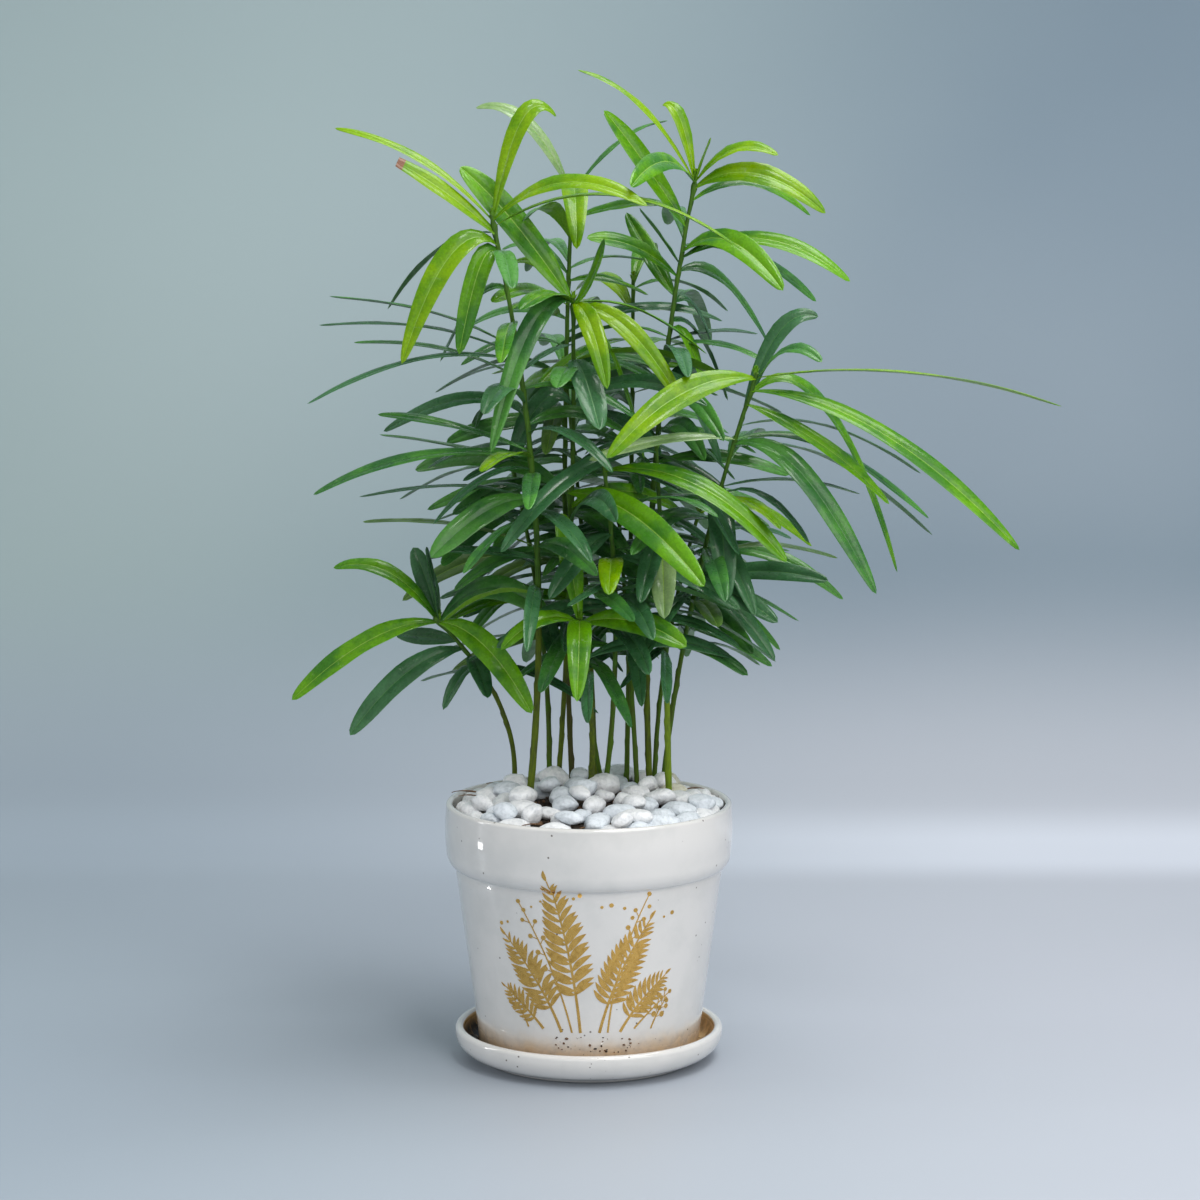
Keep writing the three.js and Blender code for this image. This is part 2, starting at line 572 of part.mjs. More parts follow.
// Leaves that follow each other up the stem in a spiral, longer and more upright near the bud.
function spiralLeaves(curve, seedling, number) {
  const height = curve.v2.z - seedling.leavesFrom;
  const count = Math.floor(height / LEAF_PITCH);
  const leaves = [];
  for (let i = 0; i < count; i += 1) {
    const next = seededRun(number * LEAF_SEEDS + i);
    const up = (i + 0.5) / count;
    const at = placeAtHeight(curve, seedling.leavesFrom + height * up);
    const turn = number * SEEDLING_TURN + i * LEAF_TURN;
    const bearing = (turn + (next() - 0.5) * LEAF_SPREAD.bearing) % 360;
    const reach = mix(LOW_LEAF.reach, HIGH_LEAF.reach, up)
      * mix(1 - LEAF_SPREAD.reach, 1 + LEAF_SPREAD.reach, next());
    const rise = reach * (mix(LOW_LEAF.rise, HIGH_LEAF.rise, up) + (next() - 0.5) * LEAF_SPREAD.rise);
    const arch = reach * mix(LEAF_SPREAD.archLow, LEAF_SPREAD.archHigh, next());
    const width = mix(LOW_LEAF.width, HIGH_LEAF.width, up)
      * mix(LEAF_SPREAD.narrow, LEAF_SPREAD.wide, next());
    const roll = (next() - LEAF_SPREAD.level) * LEAF_SPREAD.turn;
    leaves.push([at, bearing, reach, rise, arch, width, roll]);
  }
  return leaves;
}

function bearingBetween(one, other) {
  const turn = Math.abs(one - other) % 360;
  return Math.min(turn, 360 - turn);
}

// Places every leaf that keeps clear, turning it a little where that helps. The bold leaves of
// all the seedlings come first, and a spiral leaf that would grow out of one of them is left out.
function placeLeaves(seedlings) {
  const curves = seedlings.map(stemCurve);
  const stems = curves.map(stemPoints);
  const placed = [];
  const tryLeaf = (owner, leaf) => {
    const [at, bearing, reach, rise, ...rest] = leaf;
    for (const [turn, lift] of NUDGES) {
      const form = leafForm(curves[owner], [at, bearing + turn, reach, rise + lift, ...rest]);
      const shape = leafReach(form);
      const hitsStem = stems.some((points, i) => i !== owner
        && pointsTouch(points, shape.panels, STEM_CLEARANCE));
      const outer = outerReach(shape);
      const hitsLeaf = placed.some((other) => (other.owner === owner
        ? leavesTouch(outer, other.outer, OWN_CLEARANCE)
        : leavesTouch(shape, other.shape, LEAF_CLEARANCE)));
      if (!hitsStem && !hitsLeaf) {
        placed.push({ owner, form, shape, outer });
        return;
      }
    }
  };
  seedlings.forEach((seedling, i) => {
    for (const leaf of seedling.bold) tryLeaf(i, leaf);
  });
  seedlings.forEach((seedling, i) => {
    const height = seedling.bud[2] - curves[i].v0.z;
    for (const leaf of spiralLeaves(curves[i], seedling, i)) {
      const crowded = seedling.bold.some((bold) => Math.abs(bold[0] - leaf[0]) * height < CROWD_HEIGHT
        && bearingBetween(bold[1], leaf[1]) < CROWD_BEARING);
      if (!crowded) tryLeaf(i, leaf);
    }
  });
  return { curves, placed };
}

// ---- Assembly --------------------------------------------------------------------------

function addMesh(group, name, solid, finish) {
  const material = new THREE.MeshStandardMaterial({ ...finish, metalness: 0 });
  const mesh = new THREE.Mesh(geometryFrom(solid), material);
  mesh.name = name;
  group.add(mesh);
}

function buildPlant() {
  const plant = new THREE.Group();
  const { curves, placed } = placeLeaves(SEEDLINGS);
  const { reach, sides, sections } = STEM_HOLE;
  const holes = curves.map((curve, i) => (
    stemPiece(curve, SEEDLINGS[i].stout, 0, reach, sides, sections, { extra: 3 * GAP })));
  const stemRoom = wasm.Manifold.union(holes);

  addMesh(plant, 'saucer', saucer(), FINISHES.glaze);
  addMesh(plant, 'pot', pot(), FINISHES.glaze);
  addMesh(plant, 'soil', soil(), FINISHES.soil);
  addMesh(plant, 'pebble_bed', pebbleBed(SEEDLINGS, stemRoom), FINISHES.pebble);

  SEEDLINGS.forEach((seedling, i) => {
    const number = String(i + 1).padStart(2, '0');
    const curve = curves[i];
    const from = placeAtHeight(curve, seedling.leavesFrom);
    const gap = GAP / curve.getLength();
    const bare = stemPiece(curve, seedling.stout, 0, from, STEM_SIDES, STEM_SECTIONS);
    addMesh(plant, `stem_${number}`, bare, FINISHES.bark);

    const rings = Math.ceil((seedling.bud[2] - seedling.leavesFrom) / TWIG_SECTION);
    const twig = stemPiece(curve, seedling.stout, from + gap, 1, TWIG_SIDES, rings, { wider: TWIG_SPARE });
    const leaves = placed.filter(({ owner }) => owner === i).map(({ form }) => leafSolid(form));
    const shoot = wholeBody(wasm.Manifold.union([twig, ...leaves]));
    addMesh(plant, `leafy_shoot_${number}`, shoot, FINISHES.leaf);
  });
  return plant;
}

export default buildPlant();
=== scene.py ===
# A potted podocarpus dressed for display: glazed pot and saucer with a gold design, soil, pebbles,
# stems with their bark, twigs and strap leaves, on a plain stage. -Y is the front and +Z is up.
# Shapes are worked out in millimetres and turned into metres when a piece is made.

import math
from collections import namedtuple

import bmesh
import bpy
import numpy as np
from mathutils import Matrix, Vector


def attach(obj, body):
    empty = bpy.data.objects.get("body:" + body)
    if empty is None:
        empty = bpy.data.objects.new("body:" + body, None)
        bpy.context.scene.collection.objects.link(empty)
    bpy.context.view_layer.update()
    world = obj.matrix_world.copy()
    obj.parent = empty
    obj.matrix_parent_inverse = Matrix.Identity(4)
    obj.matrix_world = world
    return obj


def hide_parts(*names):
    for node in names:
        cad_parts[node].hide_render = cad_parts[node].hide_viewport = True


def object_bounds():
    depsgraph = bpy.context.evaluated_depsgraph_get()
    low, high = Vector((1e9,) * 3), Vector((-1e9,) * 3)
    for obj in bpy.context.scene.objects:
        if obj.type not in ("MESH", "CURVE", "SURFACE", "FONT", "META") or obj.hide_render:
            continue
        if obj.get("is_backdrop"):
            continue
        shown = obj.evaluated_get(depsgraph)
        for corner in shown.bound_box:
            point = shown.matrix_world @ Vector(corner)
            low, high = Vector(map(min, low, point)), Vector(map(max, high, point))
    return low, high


bl_info = {
    "name": "Podocarpus in a Glazed Pot",
    "version": (1, 0, 0),
    "blender": (4, 5, 0),
    "location": "3D Viewport > Sidebar > Podocarpus",
    "description": "Builds a potted podocarpus from its stems, leaves, pebbles and glazed pot",
    "category": "Add Mesh",
}

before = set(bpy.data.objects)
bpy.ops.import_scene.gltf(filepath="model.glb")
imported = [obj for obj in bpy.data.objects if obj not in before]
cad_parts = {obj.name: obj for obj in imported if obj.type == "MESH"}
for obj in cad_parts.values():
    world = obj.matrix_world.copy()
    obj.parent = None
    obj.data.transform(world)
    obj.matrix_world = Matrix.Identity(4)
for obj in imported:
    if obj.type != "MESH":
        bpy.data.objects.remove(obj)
CAD_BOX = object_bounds()

MM = 0.001

# ---- Sizes -----------------------------------------------------------------------------

# Lengths are in millimetres and angles in degrees. A pair of numbers is a range, which a run of
# drawn numbers or a place along a curve goes through.

GAP = 0.3                         # between pieces that rest on each other

RIM_RADIUS = 65
POT_TOP = 118.5
BAND_FOOT = 89.5
BODY_TOP_RADIUS = 61
BODY_FOOT_RADIUS = 50.2
LIP = 3.2
WALL = 4
POT_FLOOR = 5
FOOT_ROUND = 3
BAND_ROUND = 8
BAND_INSIDE = 12
BAND_SWELL = 0.55

SAUCER_RADIUS = 61.2
SAUCER_HEIGHT = 15.2
SAUCER_WAIST = 12
SAUCER_FOOT_RADIUS = 49.7
SAUCER_FOOT_HEIGHT = 2.2
SAUCER_FLOOR = 4.2
SAUCER_WALL = 4
SAUCER_HOLLOW = 5.5
SAUCER_RECESS = 1.2               # of its underside, within the foot ring
SAUCER_UNDERCUT = 0.6
FOOT_RING = 2.6
FOOT_RING_HEIGHT = 1

SOIL_EDGE = 110
SOIL_HEAP = 10
SOIL_LIFT = 2.6                   # of the soil that is seen, through the layer of pebbles
SOIL_RINGS = 48
SOIL_SIDES = 150
BED_RADIUS = 60.5

# Pebbles lie along the wall first. Sizes are shares of a middling pebble's, and variety is that of
# its length, width and thickness. The lift is over the soil, a pebble's own half size times the
# sink is added to it, and nest is how high one rests on another, as a share of a ball's height.
WALL_PEBBLES = 28
WALL_PEBBLE_HEIGHT = 115.6
WALL_PEBBLE_SIZE = (0.76, 1.1)
WALL_PEBBLE_ROOM = 0.9
PEBBLE_SIZE = (0.74, 1.12)
PEBBLE_VARIETY = ((0.8, 1.2), (0.85, 1.1), (0.85, 1.1))
PEBBLE_LEAN = 0.9                 # radians
PEBBLE_LIFT = 2.0
PEBBLE_SINK = 0.62
PEBBLE_NEST = 0.66
PEBBLE_TRIES = 40
PEBBLE_STACK = 10                 # no pebble comes to rest higher over the soil
CREAM_ABOVE, BLUE_ABOVE = 0.98, 0.6
SQUARENESS = (0.93, 1.02)
DENTS = {"scale": 0.6, "depth": 0.09}
PITS = {"scale": 2.2, "depth": 0.022, "seed": 400}
FLATS = 7
FLAT_START = (0.66, 0.9)
FLAT_DEPTH = 0.62
PEBBLE_SEED = 17
PEBBLE_DENT_SEED = 300

# Places (x, y) where the soil shows between the pebbles, with their radius.
BARE_SOIL = ((-14, 34, 5), (-26, 38, 4), (10, 24, 4.5), (20, 32, 4), (-22, -46, 4), (-2, -53, 3.5),
             (28, 38, 4), (46, 22, 3), (-46, -30, 2.5), (15, 20, 4.5), (33, 9, 3))

STEM_FOOT_RADIUS = 1.5
STEM_TIP_RADIUS = 0.85
ROOT_FLARE = 1.35
FLARE_HEIGHT = 5
STEM_SUNK = 2.5                   # how far a stem reaches into the soil
FIRST_SCAR = 9.0                  # height of the lowest scar of an old leaf
SCAR_PITCH = (5, 11)
LAST_SCAR = 3                     # kept free of scars under the leaves
TWIG_OVERLAP = 0.004              # of a twig over its stem, as a share of the curve
LAST_CUSHION = 0.985              # the highest cushion under a leaf, as a share of the curve
BUD_PLACE = 0.999
BUD_DEPTH = 2.5                   # how far below its end a shoot holds its topmost leaves

LEAF_SECTION = 22
LEAF_SHOULDER = 0.45
STATION_CROWD = 0.6
STALK_SHARE = 0.16
FULL_FROM = 0.5
BLUNTNESS = 3
TIP_HALF = 0.4
LEAF_PITCH = 6.2
LEAF_TURN = 137.5
SEEDLING_TURN = 53
LEAF_CLEARANCE = 1.6
OWN_CLEARANCE = 0.8
STEM_CLEARANCE = 2.9
CROWD_HEIGHT = 13                 # a spiral leaf this near to a bold one, and turned within
CROWD_BEARING = 52                # this many degrees of it, is left out
LOW_LEAF = {"reach": 50, "width": 8.5, "rise": -0.36}
HIGH_LEAF = {"reach": 72, "width": 10, "rise": 0}
LEAF_SAMPLE = 4
STEM_SAMPLE = 2.5
NUDGES = ((0, 0), (9, 2), (-9, 2), (18, -5), (-18, -5), (0, 8), (27, 4), (-27, 4))

# How the spiral leaves vary. But for bearings and rolls, these are shares of the reach or width.
BEARING_SPREAD = 24
REACH_SPREAD = (0.82, 1.18)
RISE_SPREAD = 0.3
ARCH_SHARE = (0.16, 0.38)
WIDTH_SPREAD = (0.85, 1.1)
ROLL_SPREAD = 80
ROLL_LEAST = 0.35

# The finer leaves that grow between the others, up to this share of the stem.
FINE_CLEARANCE = 0.7
FINE_REACH = 0.9
FINE_TOP = 0.72

# A bud above this height has the brightest leaves round it.
SUNLIT_HEIGHT = 330
FEWEST_LEAVES = 200

# Where the runs of drawn numbers start, and how many starts each seedling has.
LEAF_SEEDS = 1000
FINE_SEED = 500
SEEDS = {"scars": 900, "stem": 60, "twig": 80, "leaf": 5000, "bud": 9000}
SEEDS_PER_SHOOT = {"leaf": 200, "bud": 20}

# Crumbs on the soil, in the saucer and on the pot above its foot.
SAUCER_CRUMBS = 260
WALL_CRUMBS = 46
CRUMB_LIFT = 3.1
CRUMB_SIZE = (0.35, 1.5)
CRUMB_LENGTH = (1.0, 2.4)
SAUCER_CRUMB_SIZE = (0.2, 0.8)
WALL_CRUMB_SIZE = (0.15, 0.6)
WALL_CRUMB_LENGTH = (1, 1.8)
WALL_CRUMB_HEIGHT = (14.5, 22)
SMEAR = (150, 215)                # degrees, where half of the saucer's crumbs lie
SPLASH = (-18, 26)                # degrees from the front, where the pot's crumbs stick
CRUMB_SEED = 41
DENT_SEEDS = {"soil": 100, "saucer": 700, "wall": 900}

TWIG_SEED = 73
FALLEN_RADIUS = (0.42, 0.18)
# Fallen twigs: foot (x, y), height over the soil, heading and length.
FALLEN_TWIGS = (
    (-46, 6, 8, 168, 17), (-48, -6, 8.5, 150, 13), (-40, 22, 7, 120, 15), (-24, 36, 5, 20, 14),
    (12, 26, 5, 150, 12), (24, 34, 5, 35, 13), (42, 20, 7, 10, 12), (-20, -46, 5, 200, 11),
    (-4, -52, 5, 10, 10), (34, 34, 6, 60, 10),
)

# The gold design: the radius that its widths are laid out on, then its fronds, each with its foot
# (across, height), lean, length, bend, pairs of leaflets and their reach, then its sprays of
# berries, each with its foot, lean, length, bend and berries.
GOLD_ROUND = 56
GOLD_FRONDS = (
    (-4, 24, -5, 72, -10, 18, 12), (5, 24, 14, 56, 18, 14, 11.5), (-13, 24, -20, 50, -22, 13, 11),
    (15, 24, 30, 33, 24, 10, 9.5), (-22, 25, -40, 26, -18, 8, 8),
)
GOLD_SPRAYS = ((9, 24, 5, 66, 20, 8), (-8, 24, -13, 64, -16, 8), (22, 25, 44, 24, 14, 6),
               (-30, 25, -20, 17, -30, 5), (31, 24, 20, 15, 20, 4))
GOLD_DOTS = 15
GOLD_DOTS_FROM, GOLD_DOTS_TO = -44, 40
GOLD_DOTS_TOP = 90
GOLD_DOTS_FALL = 0.42
GOLD_DOT_RADIUS = (0.5, 1.0)
GOLD_SEED = 29

Seedling = namedtuple("Seedling", "foot bud bow leaves_from bark stout leaves")

# Each seedling: its foot on the soil (x, y), the bud at its top (x, y, z), the bow of its stem to
# the side at mid height, the height where its leaves begin, the tone of its bark, how stout its
# stem is, and its bold leaves. Each of those has its place up the stem, bearing, reach, rise,
# arch, width, turn and tone.
SEEDLINGS = [Seedling(*row) for row in (
    ((-35.5, 30), (-70, 5, 202), (12.5, 4), 172, "olive", 0.8, (
        (1.00, 175, 48, 24, 21, 10, 35, "fresh"), (0.99, 190, 67, -34, 20, 11, 40, "fresh"),
        (0.83, 200, 54, -37, 19, 11, 45, "dark"), (0.99, 325, 52, -37, 20, 12, 50, "fresh"),
        (1.00, 130, 19, 32, 3, 10, 50, "dark"), (1.00, 230, 8, 35, 2, 10, 50, "dark"),
        (0.98, 345, 52, 4, 30, 12, 55, "mid"), (0.87, 150, 33, 1, 0, 10, 40, "dark"),
        (0.79, 292, 24, -16, 7, 10, 0, "dark"), (0.70, 160, 30, -6, 4, 8, 0, "dark"),
        (0.72, 207, 18, -18, 14, 9, 10, "dark"))),
    ((-27.5, -8), (-43, -15, 384), (11.5, -2), 205, "olive", 1.1, (
        (1.00, 173, 70, 40, 15, 7, 18, "lime"), (0.97, 188, 43, 31, 2, 9, 50, "cut"),
        (1.00, 25, 31, 45, 43, 9.5, 45, "lime"), (0.99, 340, 72, 7, 28, 11, 40, "lime"),
        (0.98, 357, 109, -10, 38, 8, 5, "lime"), (0.97, 155, 54, -35, 22, 8, 0, "mid"),
        (0.95, 205, 46, -51, 44, 12, 45, "lime"), (0.93, 215, 22, -42, 37, 10, 60, "fresh"),
        (0.88, 150, 35, -34, 22, 10, 30, "mid"), (0.94, 278, 48, -14, 10, 9.5, 0, "mid"),
        (0.78, 170, 83, 21, 10, 8, 0, "mid"), (0.77, 180, 88, 13, 12, 8, 0, "dark"),
        (0.73, 168, 77, 15, 11, 8, 0, "mid"), (0.76, 189, 94, -18, 20, 9, 10, "dark"),
        (0.73, 140, 28, -24, 16, 9, 20, "dark"), (0.61, 177, 68, 16, 5, 9, 10, "mid"),
        (0.59, 165, 71, 11, 2, 8, 0, "mid"), (0.60, 190, 97, -15, 18, 9, 20, "mid"),
        (0.62, 150, 54, -13, 9, 8, 10, "dark"), (0.60, 245, 49, -2, 9, 11, 0, "lime"),
        (0.53, 180, 78, 1, 11, 8, 0, "dark"), (0.54, 140, 46, -4, 9, 8, 0, "dark"),
        (0.58, 190, 46, -25, 17, 8, 10, "dark"), (0.53, 210, 52, -23, 15, 12, 45, "mid"),
        (0.45, 173, 79, 10, 9, 8, 0, "olive"), (0.43, 196, 45, 5, 3, 9, 20, "dark"),
        (0.60, 35, 60, -8, 26, 9, 0, "dark"))),
    ((-18.5, 26), (-36, 52, 268), (5.5, -2), 182, "green", 0.85, (
        (0.98, 158, 58, -17, 13, 9, 0, "mid"), (0.71, 150, 58, -4, 8, 8, 0, "mid"),
        (0.62, 185, 45, -4, 9, 9, 20, "dark"), (0.56, 210, 40, -1, 13, 9, 20, "dark"),
        (0.90, 112, 74, -30, 26, 9, 0, "mid"))),
    ((-14.5, 28), (-7, -8, 347), (2.5, 5), 190, "olive", 0.8, (
        (1.00, 176, 50, 60, 4, 14, 58, "fresh"), (1.00, 150, 32, 17, 15, 8, 20, "lime"),
        (1.00, 337, 15, 29, -12, 9, 40, "fresh"), (1.00, 236, 41, -1, 12, 12, 10, "fresh"),
        (0.99, 300, 30, -36, 20, 10, 30, "lime"), (0.98, 340, 52, -42, 27, 10, 45, "lime"),
        (0.99, 6, 60, -23, 18, 7, 0, "fresh"), (0.99, 230, 55, -62, 46, 10, 35, "mid"),
        (0.96, 14, 33, -64, 41, 8, 20, "fresh"), (0.88, 287, 40, -28, 15, 14, 0, "dark"),
        (0.86, 260, 41, -5, 8, 11, 0, "mid"), (0.91, 225, 31, -10, 5, 8, 0, "dark"),
        (0.79, 214, 29, -20, 30, 12, 40, "dark"), (0.72, 160, 34, -15, 14, 9, 10, "dark"))),
    ((-7.5, 32), (-7.5, 38, 394), (-3.5, 3), 188, "brown", 0.85, (
        (0.99, 167, 45, 39, 26, 9, 35, "pale"), (0.98, 273, 46, -20, 30, 12, 0, "lime"),
        (1.00, 18, 46, 33, 13, 7, 5, "mid"), (0.95, 5, 43, 7, 5, 9, 20, "fresh"),
        (0.87, 38, 49, 2, 8, 9, 0, "mid"), (0.85, 15, 38, -7, 8, 10, 20, "fresh"),
        (0.86, 165, 32, 11, 15, 9, 20, "mid"), (0.70, 120, 19, -34, 32, 11, 30, "mid"),
        (0.88, 105, 80, -8, 26, 9, 0, "mid"))),
    ((0.5, 10), (-4.4, -25, 206), (3, -3), 176, "olive", 0.95, (
        (0.99, 130, 13, 48, 3, 12, 0, "fresh"), (0.99, 340, 50, -8, 12, 12, 50, "fresh"),
        (0.99, 200, 37, -10, 16, 9, 35, "fresh"), (0.97, 268, 36, -29, 26, 11, 0, "fresh"))),
    ((7, 27), (-9, -10, 263), (-3, 3), 180, "green", 0.75, (
        (0.99, 330, 76, -38, 20, 14, 50, "fresh"),)),
    ((7, 15), (6, -15, 277), (5.5, -3), 180, "green", 0.85, (
        (0.96, 345, 83, -38, 29, 11, 35, "fresh"), (0.70, 267, 44, -9, 13, 11, 0, "lime"),
        (0.78, 213, 37, -28, 12, 10, 25, "dark"))),
    ((17.5, 42), (20.5, 62, 352), (0.5, 4), 184, "green", 0.8, (
        (1.00, 80, 60, 10, 22, 9, 0, "fresh"), (0.98, 30, 52, -12, 18, 9, 0, "mid"),
        (0.80, 100, 88, -34, 30, 10, 0, "dark"), (0.60, 62, 82, -30, 24, 9, 0, "dark"))),
    ((22.5, 24), (14, 40, 240), (0.5, -3), 178, "green", 0.8, (
        (0.98, 190, 40, -14, 16, 9, 20, "mid"), (0.93, 300, 37, -14, 16, 10, 10, "dark"))),
    ((28.5, 26), (48.5, 30, 400), (-9, 4), 190, "olive", 1.0, (
        (0.99, 180, 53, 50, 19, 8, 18, "lime"), (1.00, 150, 17, 34, 22, 8, 25, "lime"),
        (0.99, 330, 8, 20, 1, 7, 20, "lime"), (0.99, 348, 38, 12, 18, 9, 30, "lime"),
        (0.98, 350, 60, -11, 25, 12, 50, "lime"), (0.96, 12, 56, -7, 23, 9, 20, "fresh"),
        (0.92, 190, 38, 52, 0, 12, 58, "fresh"), (0.87, 350, 77, -10, 28, 11, 35, "fresh"),
        (0.89, 9, 62, -26, 19, 10, 25, "mid"), (0.88, 325, 54, -16, 27, 12, 45, "fresh"),
        (0.85, 23, 46, -35, 26, 12, 35, "mid"), (0.84, 200, 44, 18, 10, 11, 45, "fresh"),
        (0.86, 230, 29, 26, 0, 10, 35, "mid"), (0.81, 137, 30, 37, -4, 9, 30, "fresh"),
        (0.80, 24, 20, -21, 19, 11, 20, "mid"), (0.77, 18, 33, -33, 25, 11, 25, "mid"),
        (0.76, 332, 17, -25, 17, 9, 10, "fresh"), (0.74, 24, 50, -1, 5, 9, 0, "dark"),
        (0.73, 342, 46, -6, 10, 8, 10, "mid"), (0.65, 198, 19, 14, 13, 8, 0, "dark"),
        (0.64, 28, 30, 2, 8, 9, 0, "mid"), (0.69, 328, 30, -41, 21, 8, 10, "dark"),
        (0.58, 138, 45, -10, 21, 10, 20, "mid"), (0.80, 78, 92, -26, 28, 9, 0, "mid"),
        (0.90, 95, 70, 4, 22, 9, 0, "mid"))),
    ((30.5, 42), (52, 62, 245), (-5, 0), 182, "green", 0.75, (
        (0.87, 240, 47, -21, 12, 11, 10, "dark"), (0.99, 356, 53, -15, 23, 10, 20, "lime"),
        (0.77, 25, 57, 8, 15, 9, 10, "dark"), (0.70, 340, 73, 10, 16, 11, 40, "dark"),
        (0.85, 70, 72, -30, 22, 9, 0, "mid"))),
    ((36.5, 4), (30, -8, 281), (1, 2), 184, "lime", 1.0, (
        (0.99, 211, 80, -40, 28, 10, 25, "dark"), (0.73, 271, 38, -28, 17, 12, 0, "pale"),
        (0.77, 255, 37, -28, 9, 10, 0, "dark"), (0.93, 313, 41, -30, 24, 10, 10, "dark"))),
    ((33.5, 30), (74, -25, 315), (-5.5, 8), 184, "green", 0.8, (
        (1.00, 208, 74, -32, 22, 13, 50, "lime"), (1.00, 2, 136, -13, 18, 8, 0, "lime"),
        (0.96, 349, 119, -68, 36, 11, 30, "fresh"), (0.95, 12, 69, -81, 74, 11, 30, "fresh"),
        (0.93, 347, 64, -43, 12, 10, 30, "fresh"), (0.85, 0, 94, -34, 29, 10, 20, "mid"),
        (0.83, 15, 114, -42, 31, 8, 5, "dark"), (0.84, 331, 70, -63, 41, 11, 40, "mid"),
        (0.90, 9, 34, 44, 30, 9, 45, "dark"), (0.88, 8, 87, -26, 22, 8, 0, "dark"),
        (0.85, 194, 67, -8, 9, 9, 20, "pale"), (0.96, 326, 36, 14, 23, 8, 25, "mid"),
        (0.74, 5, 63, -4, 10, 8, 0, "dark"), (0.72, 331, 45, -19, 22, 8, 5, "dark"),
        (0.70, 279, 26, -40, 28, 12, 0, "dark"), (0.71, 278, 46, -13, 12, 9, 0, "lime"),
        (0.66, 302, 35, -39, 10, 9, 20, "dark"), (0.57, 18, 66, -2, 13, 8, 5, "olive"),
        (0.52, 12, 48, -20, 8, 8, 10, "mid"), (0.49, 331, 41, -28, 18, 10, 25, "dark"),
        (0.46, 6, 41, -21, 18, 9, 25, "mid"), (0.47, 283, 45, -5, 9, 10, 0, "olive"),
        (0.36, 19, 38, -10, 12, 8, 0, "dark"), (0.38, 235, 37, -14, 9, 9, 0, "dark"))),
    ((3, 38), (-12, 78, 312), (3, -4), 184, "olive", 0.8, (
        (1.00, 100, 62, 6, 20, 9, 0, "mid"), (0.97, 160, 66, -10, 18, 9, 0, "dark"),
        (0.78, 118, 84, -38, 30, 10, 0, "mid"), (0.55, 84, 76, -34, 22, 9, 0, "dark"))),
)]

# ---- Numbers and shapes ----------------------------------------------------------------

RUN_FACTOR, RUN_SHIFT, RUN_SIZE = 1664525, 1013904223, 4294967296
RUN_WARM_UP = 4
PHASE_RANGE = 6.28
SHORTEST_WAY = 1e-3
RIPPLE_WAVES = (1.5, 4.5)
RIPPLE_SCALE = 1.4
LENGTH_SAMPLES = 201


def mix(a, b, t):
    return a + (b - a) * t


def smooth(low, high, value):
    t = np.clip((value - low) / (high - low), 0, 1)
    return t * t * (3 - 2 * t)


def seeded_run(seed):
    """A repeatable run of numbers from 0 to 1."""
    state = seed

    def step():
        nonlocal state
        state = (state * RUN_FACTOR + RUN_SHIFT) % RUN_SIZE
        return state / RUN_SIZE

    for _ in range(RUN_WARM_UP):
        step()
    return step


def spread(step, width):
    """The next number of a run, taken to lie as far below zero as above, width in all."""
    return (step() - 0.5) * width


def drawn_way(step):
    return np.array([spread(step, 1) for _ in range(3)])


def full_turn(steps):
    """Even angles round a circle, in radians."""
    return 2 * np.pi * np.arange(steps) / steps


def round_spot(radius, angle):
    return radius * math.cos(angle), radius * math.sin(angle)


def unit(vectors):
    return vectors / np.linalg.norm(vectors, axis=-1, keepdims=True)


class Bend:
    """A curve from start to end that leans towards one point between them."""

    def __init__(self, start, towards, end):
        self.corners = [np.array(p, float) for p in (start, towards, end)]

    def point(self, t):
        t = np.asarray(t, float)[..., None]
        a, b, c = self.corners
        return (1 - t) ** 2 * a + 2 * t * (1 - t) * b + t * t * c

    def tangent(self, t):
        t = np.asarray(t, float)[..., None]
        a, b, c = self.corners
        return unit((1 - t) * (b - a) + t * (c - b))

    def length(self):
        points = self.point(np.linspace(0, 1, LENGTH_SAMPLES))
        return float(np.linalg.norm(np.diff(points, axis=0), axis=1).sum())


class Shape:
    """Corners and faces that are gathered into one mesh, with a material for each face."""

    def __init__(self):
        self.corners, self.faces, self.finishes, self.count = [], [], [], 0

    def add(self, corners, faces, finish=0):
        """finish is one material number, or one for each face."""
        corners = np.asarray(corners, float)
        self.corners.append(corners)
        start = self.count
        self.faces.extend([tuple(i + start for i in face) for face in faces])
        self.finishes.extend([finish] * len(faces) if isinstance(finish, int) else finish)
        self.count += len(corners)

    def add_tube(self, curve, at, radius, turns):
        """A tube round a curve, with its radius at each place along it and each turn round it."""
        corners = across_ring(curve.point(at), curve.tangent(at), radius, turns)
        self.add(corners.reshape(-1, 3), skin_faces(len(at), len(turns)))

    def piece(self, name, materials, slot, replaces=(), *, sharp):
        """Makes the object, in metres, and gives it its place in the model. Edges are sharp from
        the given angle."""
        mesh = bpy.data.meshes.new(name)
        mesh.from_pydata((np.concatenate(self.corners) * MM).tolist(), [], self.faces)
        for material in materials:
            mesh.materials.append(material)
        mesh.polygons.foreach_set("material_index", self.finishes)
        mesh.shade_smooth()
        mesh.set_sharp_from_angle(angle=math.radians(sharp))
        mesh.validate()
        made = bpy.data.objects.new(name, mesh)
        bpy.context.scene.collection.objects.link(made)
        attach(made, "root")
        if replaces:
            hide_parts(*replaces)


def skin_faces(rings, sides, start_cap=True, end_cap=True):
    """Faces over rings that wind anticlockwise seen from the far end."""
    faces = []
    for k in range(rings - 1):
        for i in range(sides):
            a, b = k * sides + i, k * sides + (i + 1) % sides
            faces.append((a, b, b + sides, a + sides))
    if start_cap:
        faces.append(tuple(range(sides - 1, -1, -1)))
    if end_cap:
        last = (rings - 1) * sides
        faces.append(tuple(range(last, last + sides)))
    return faces


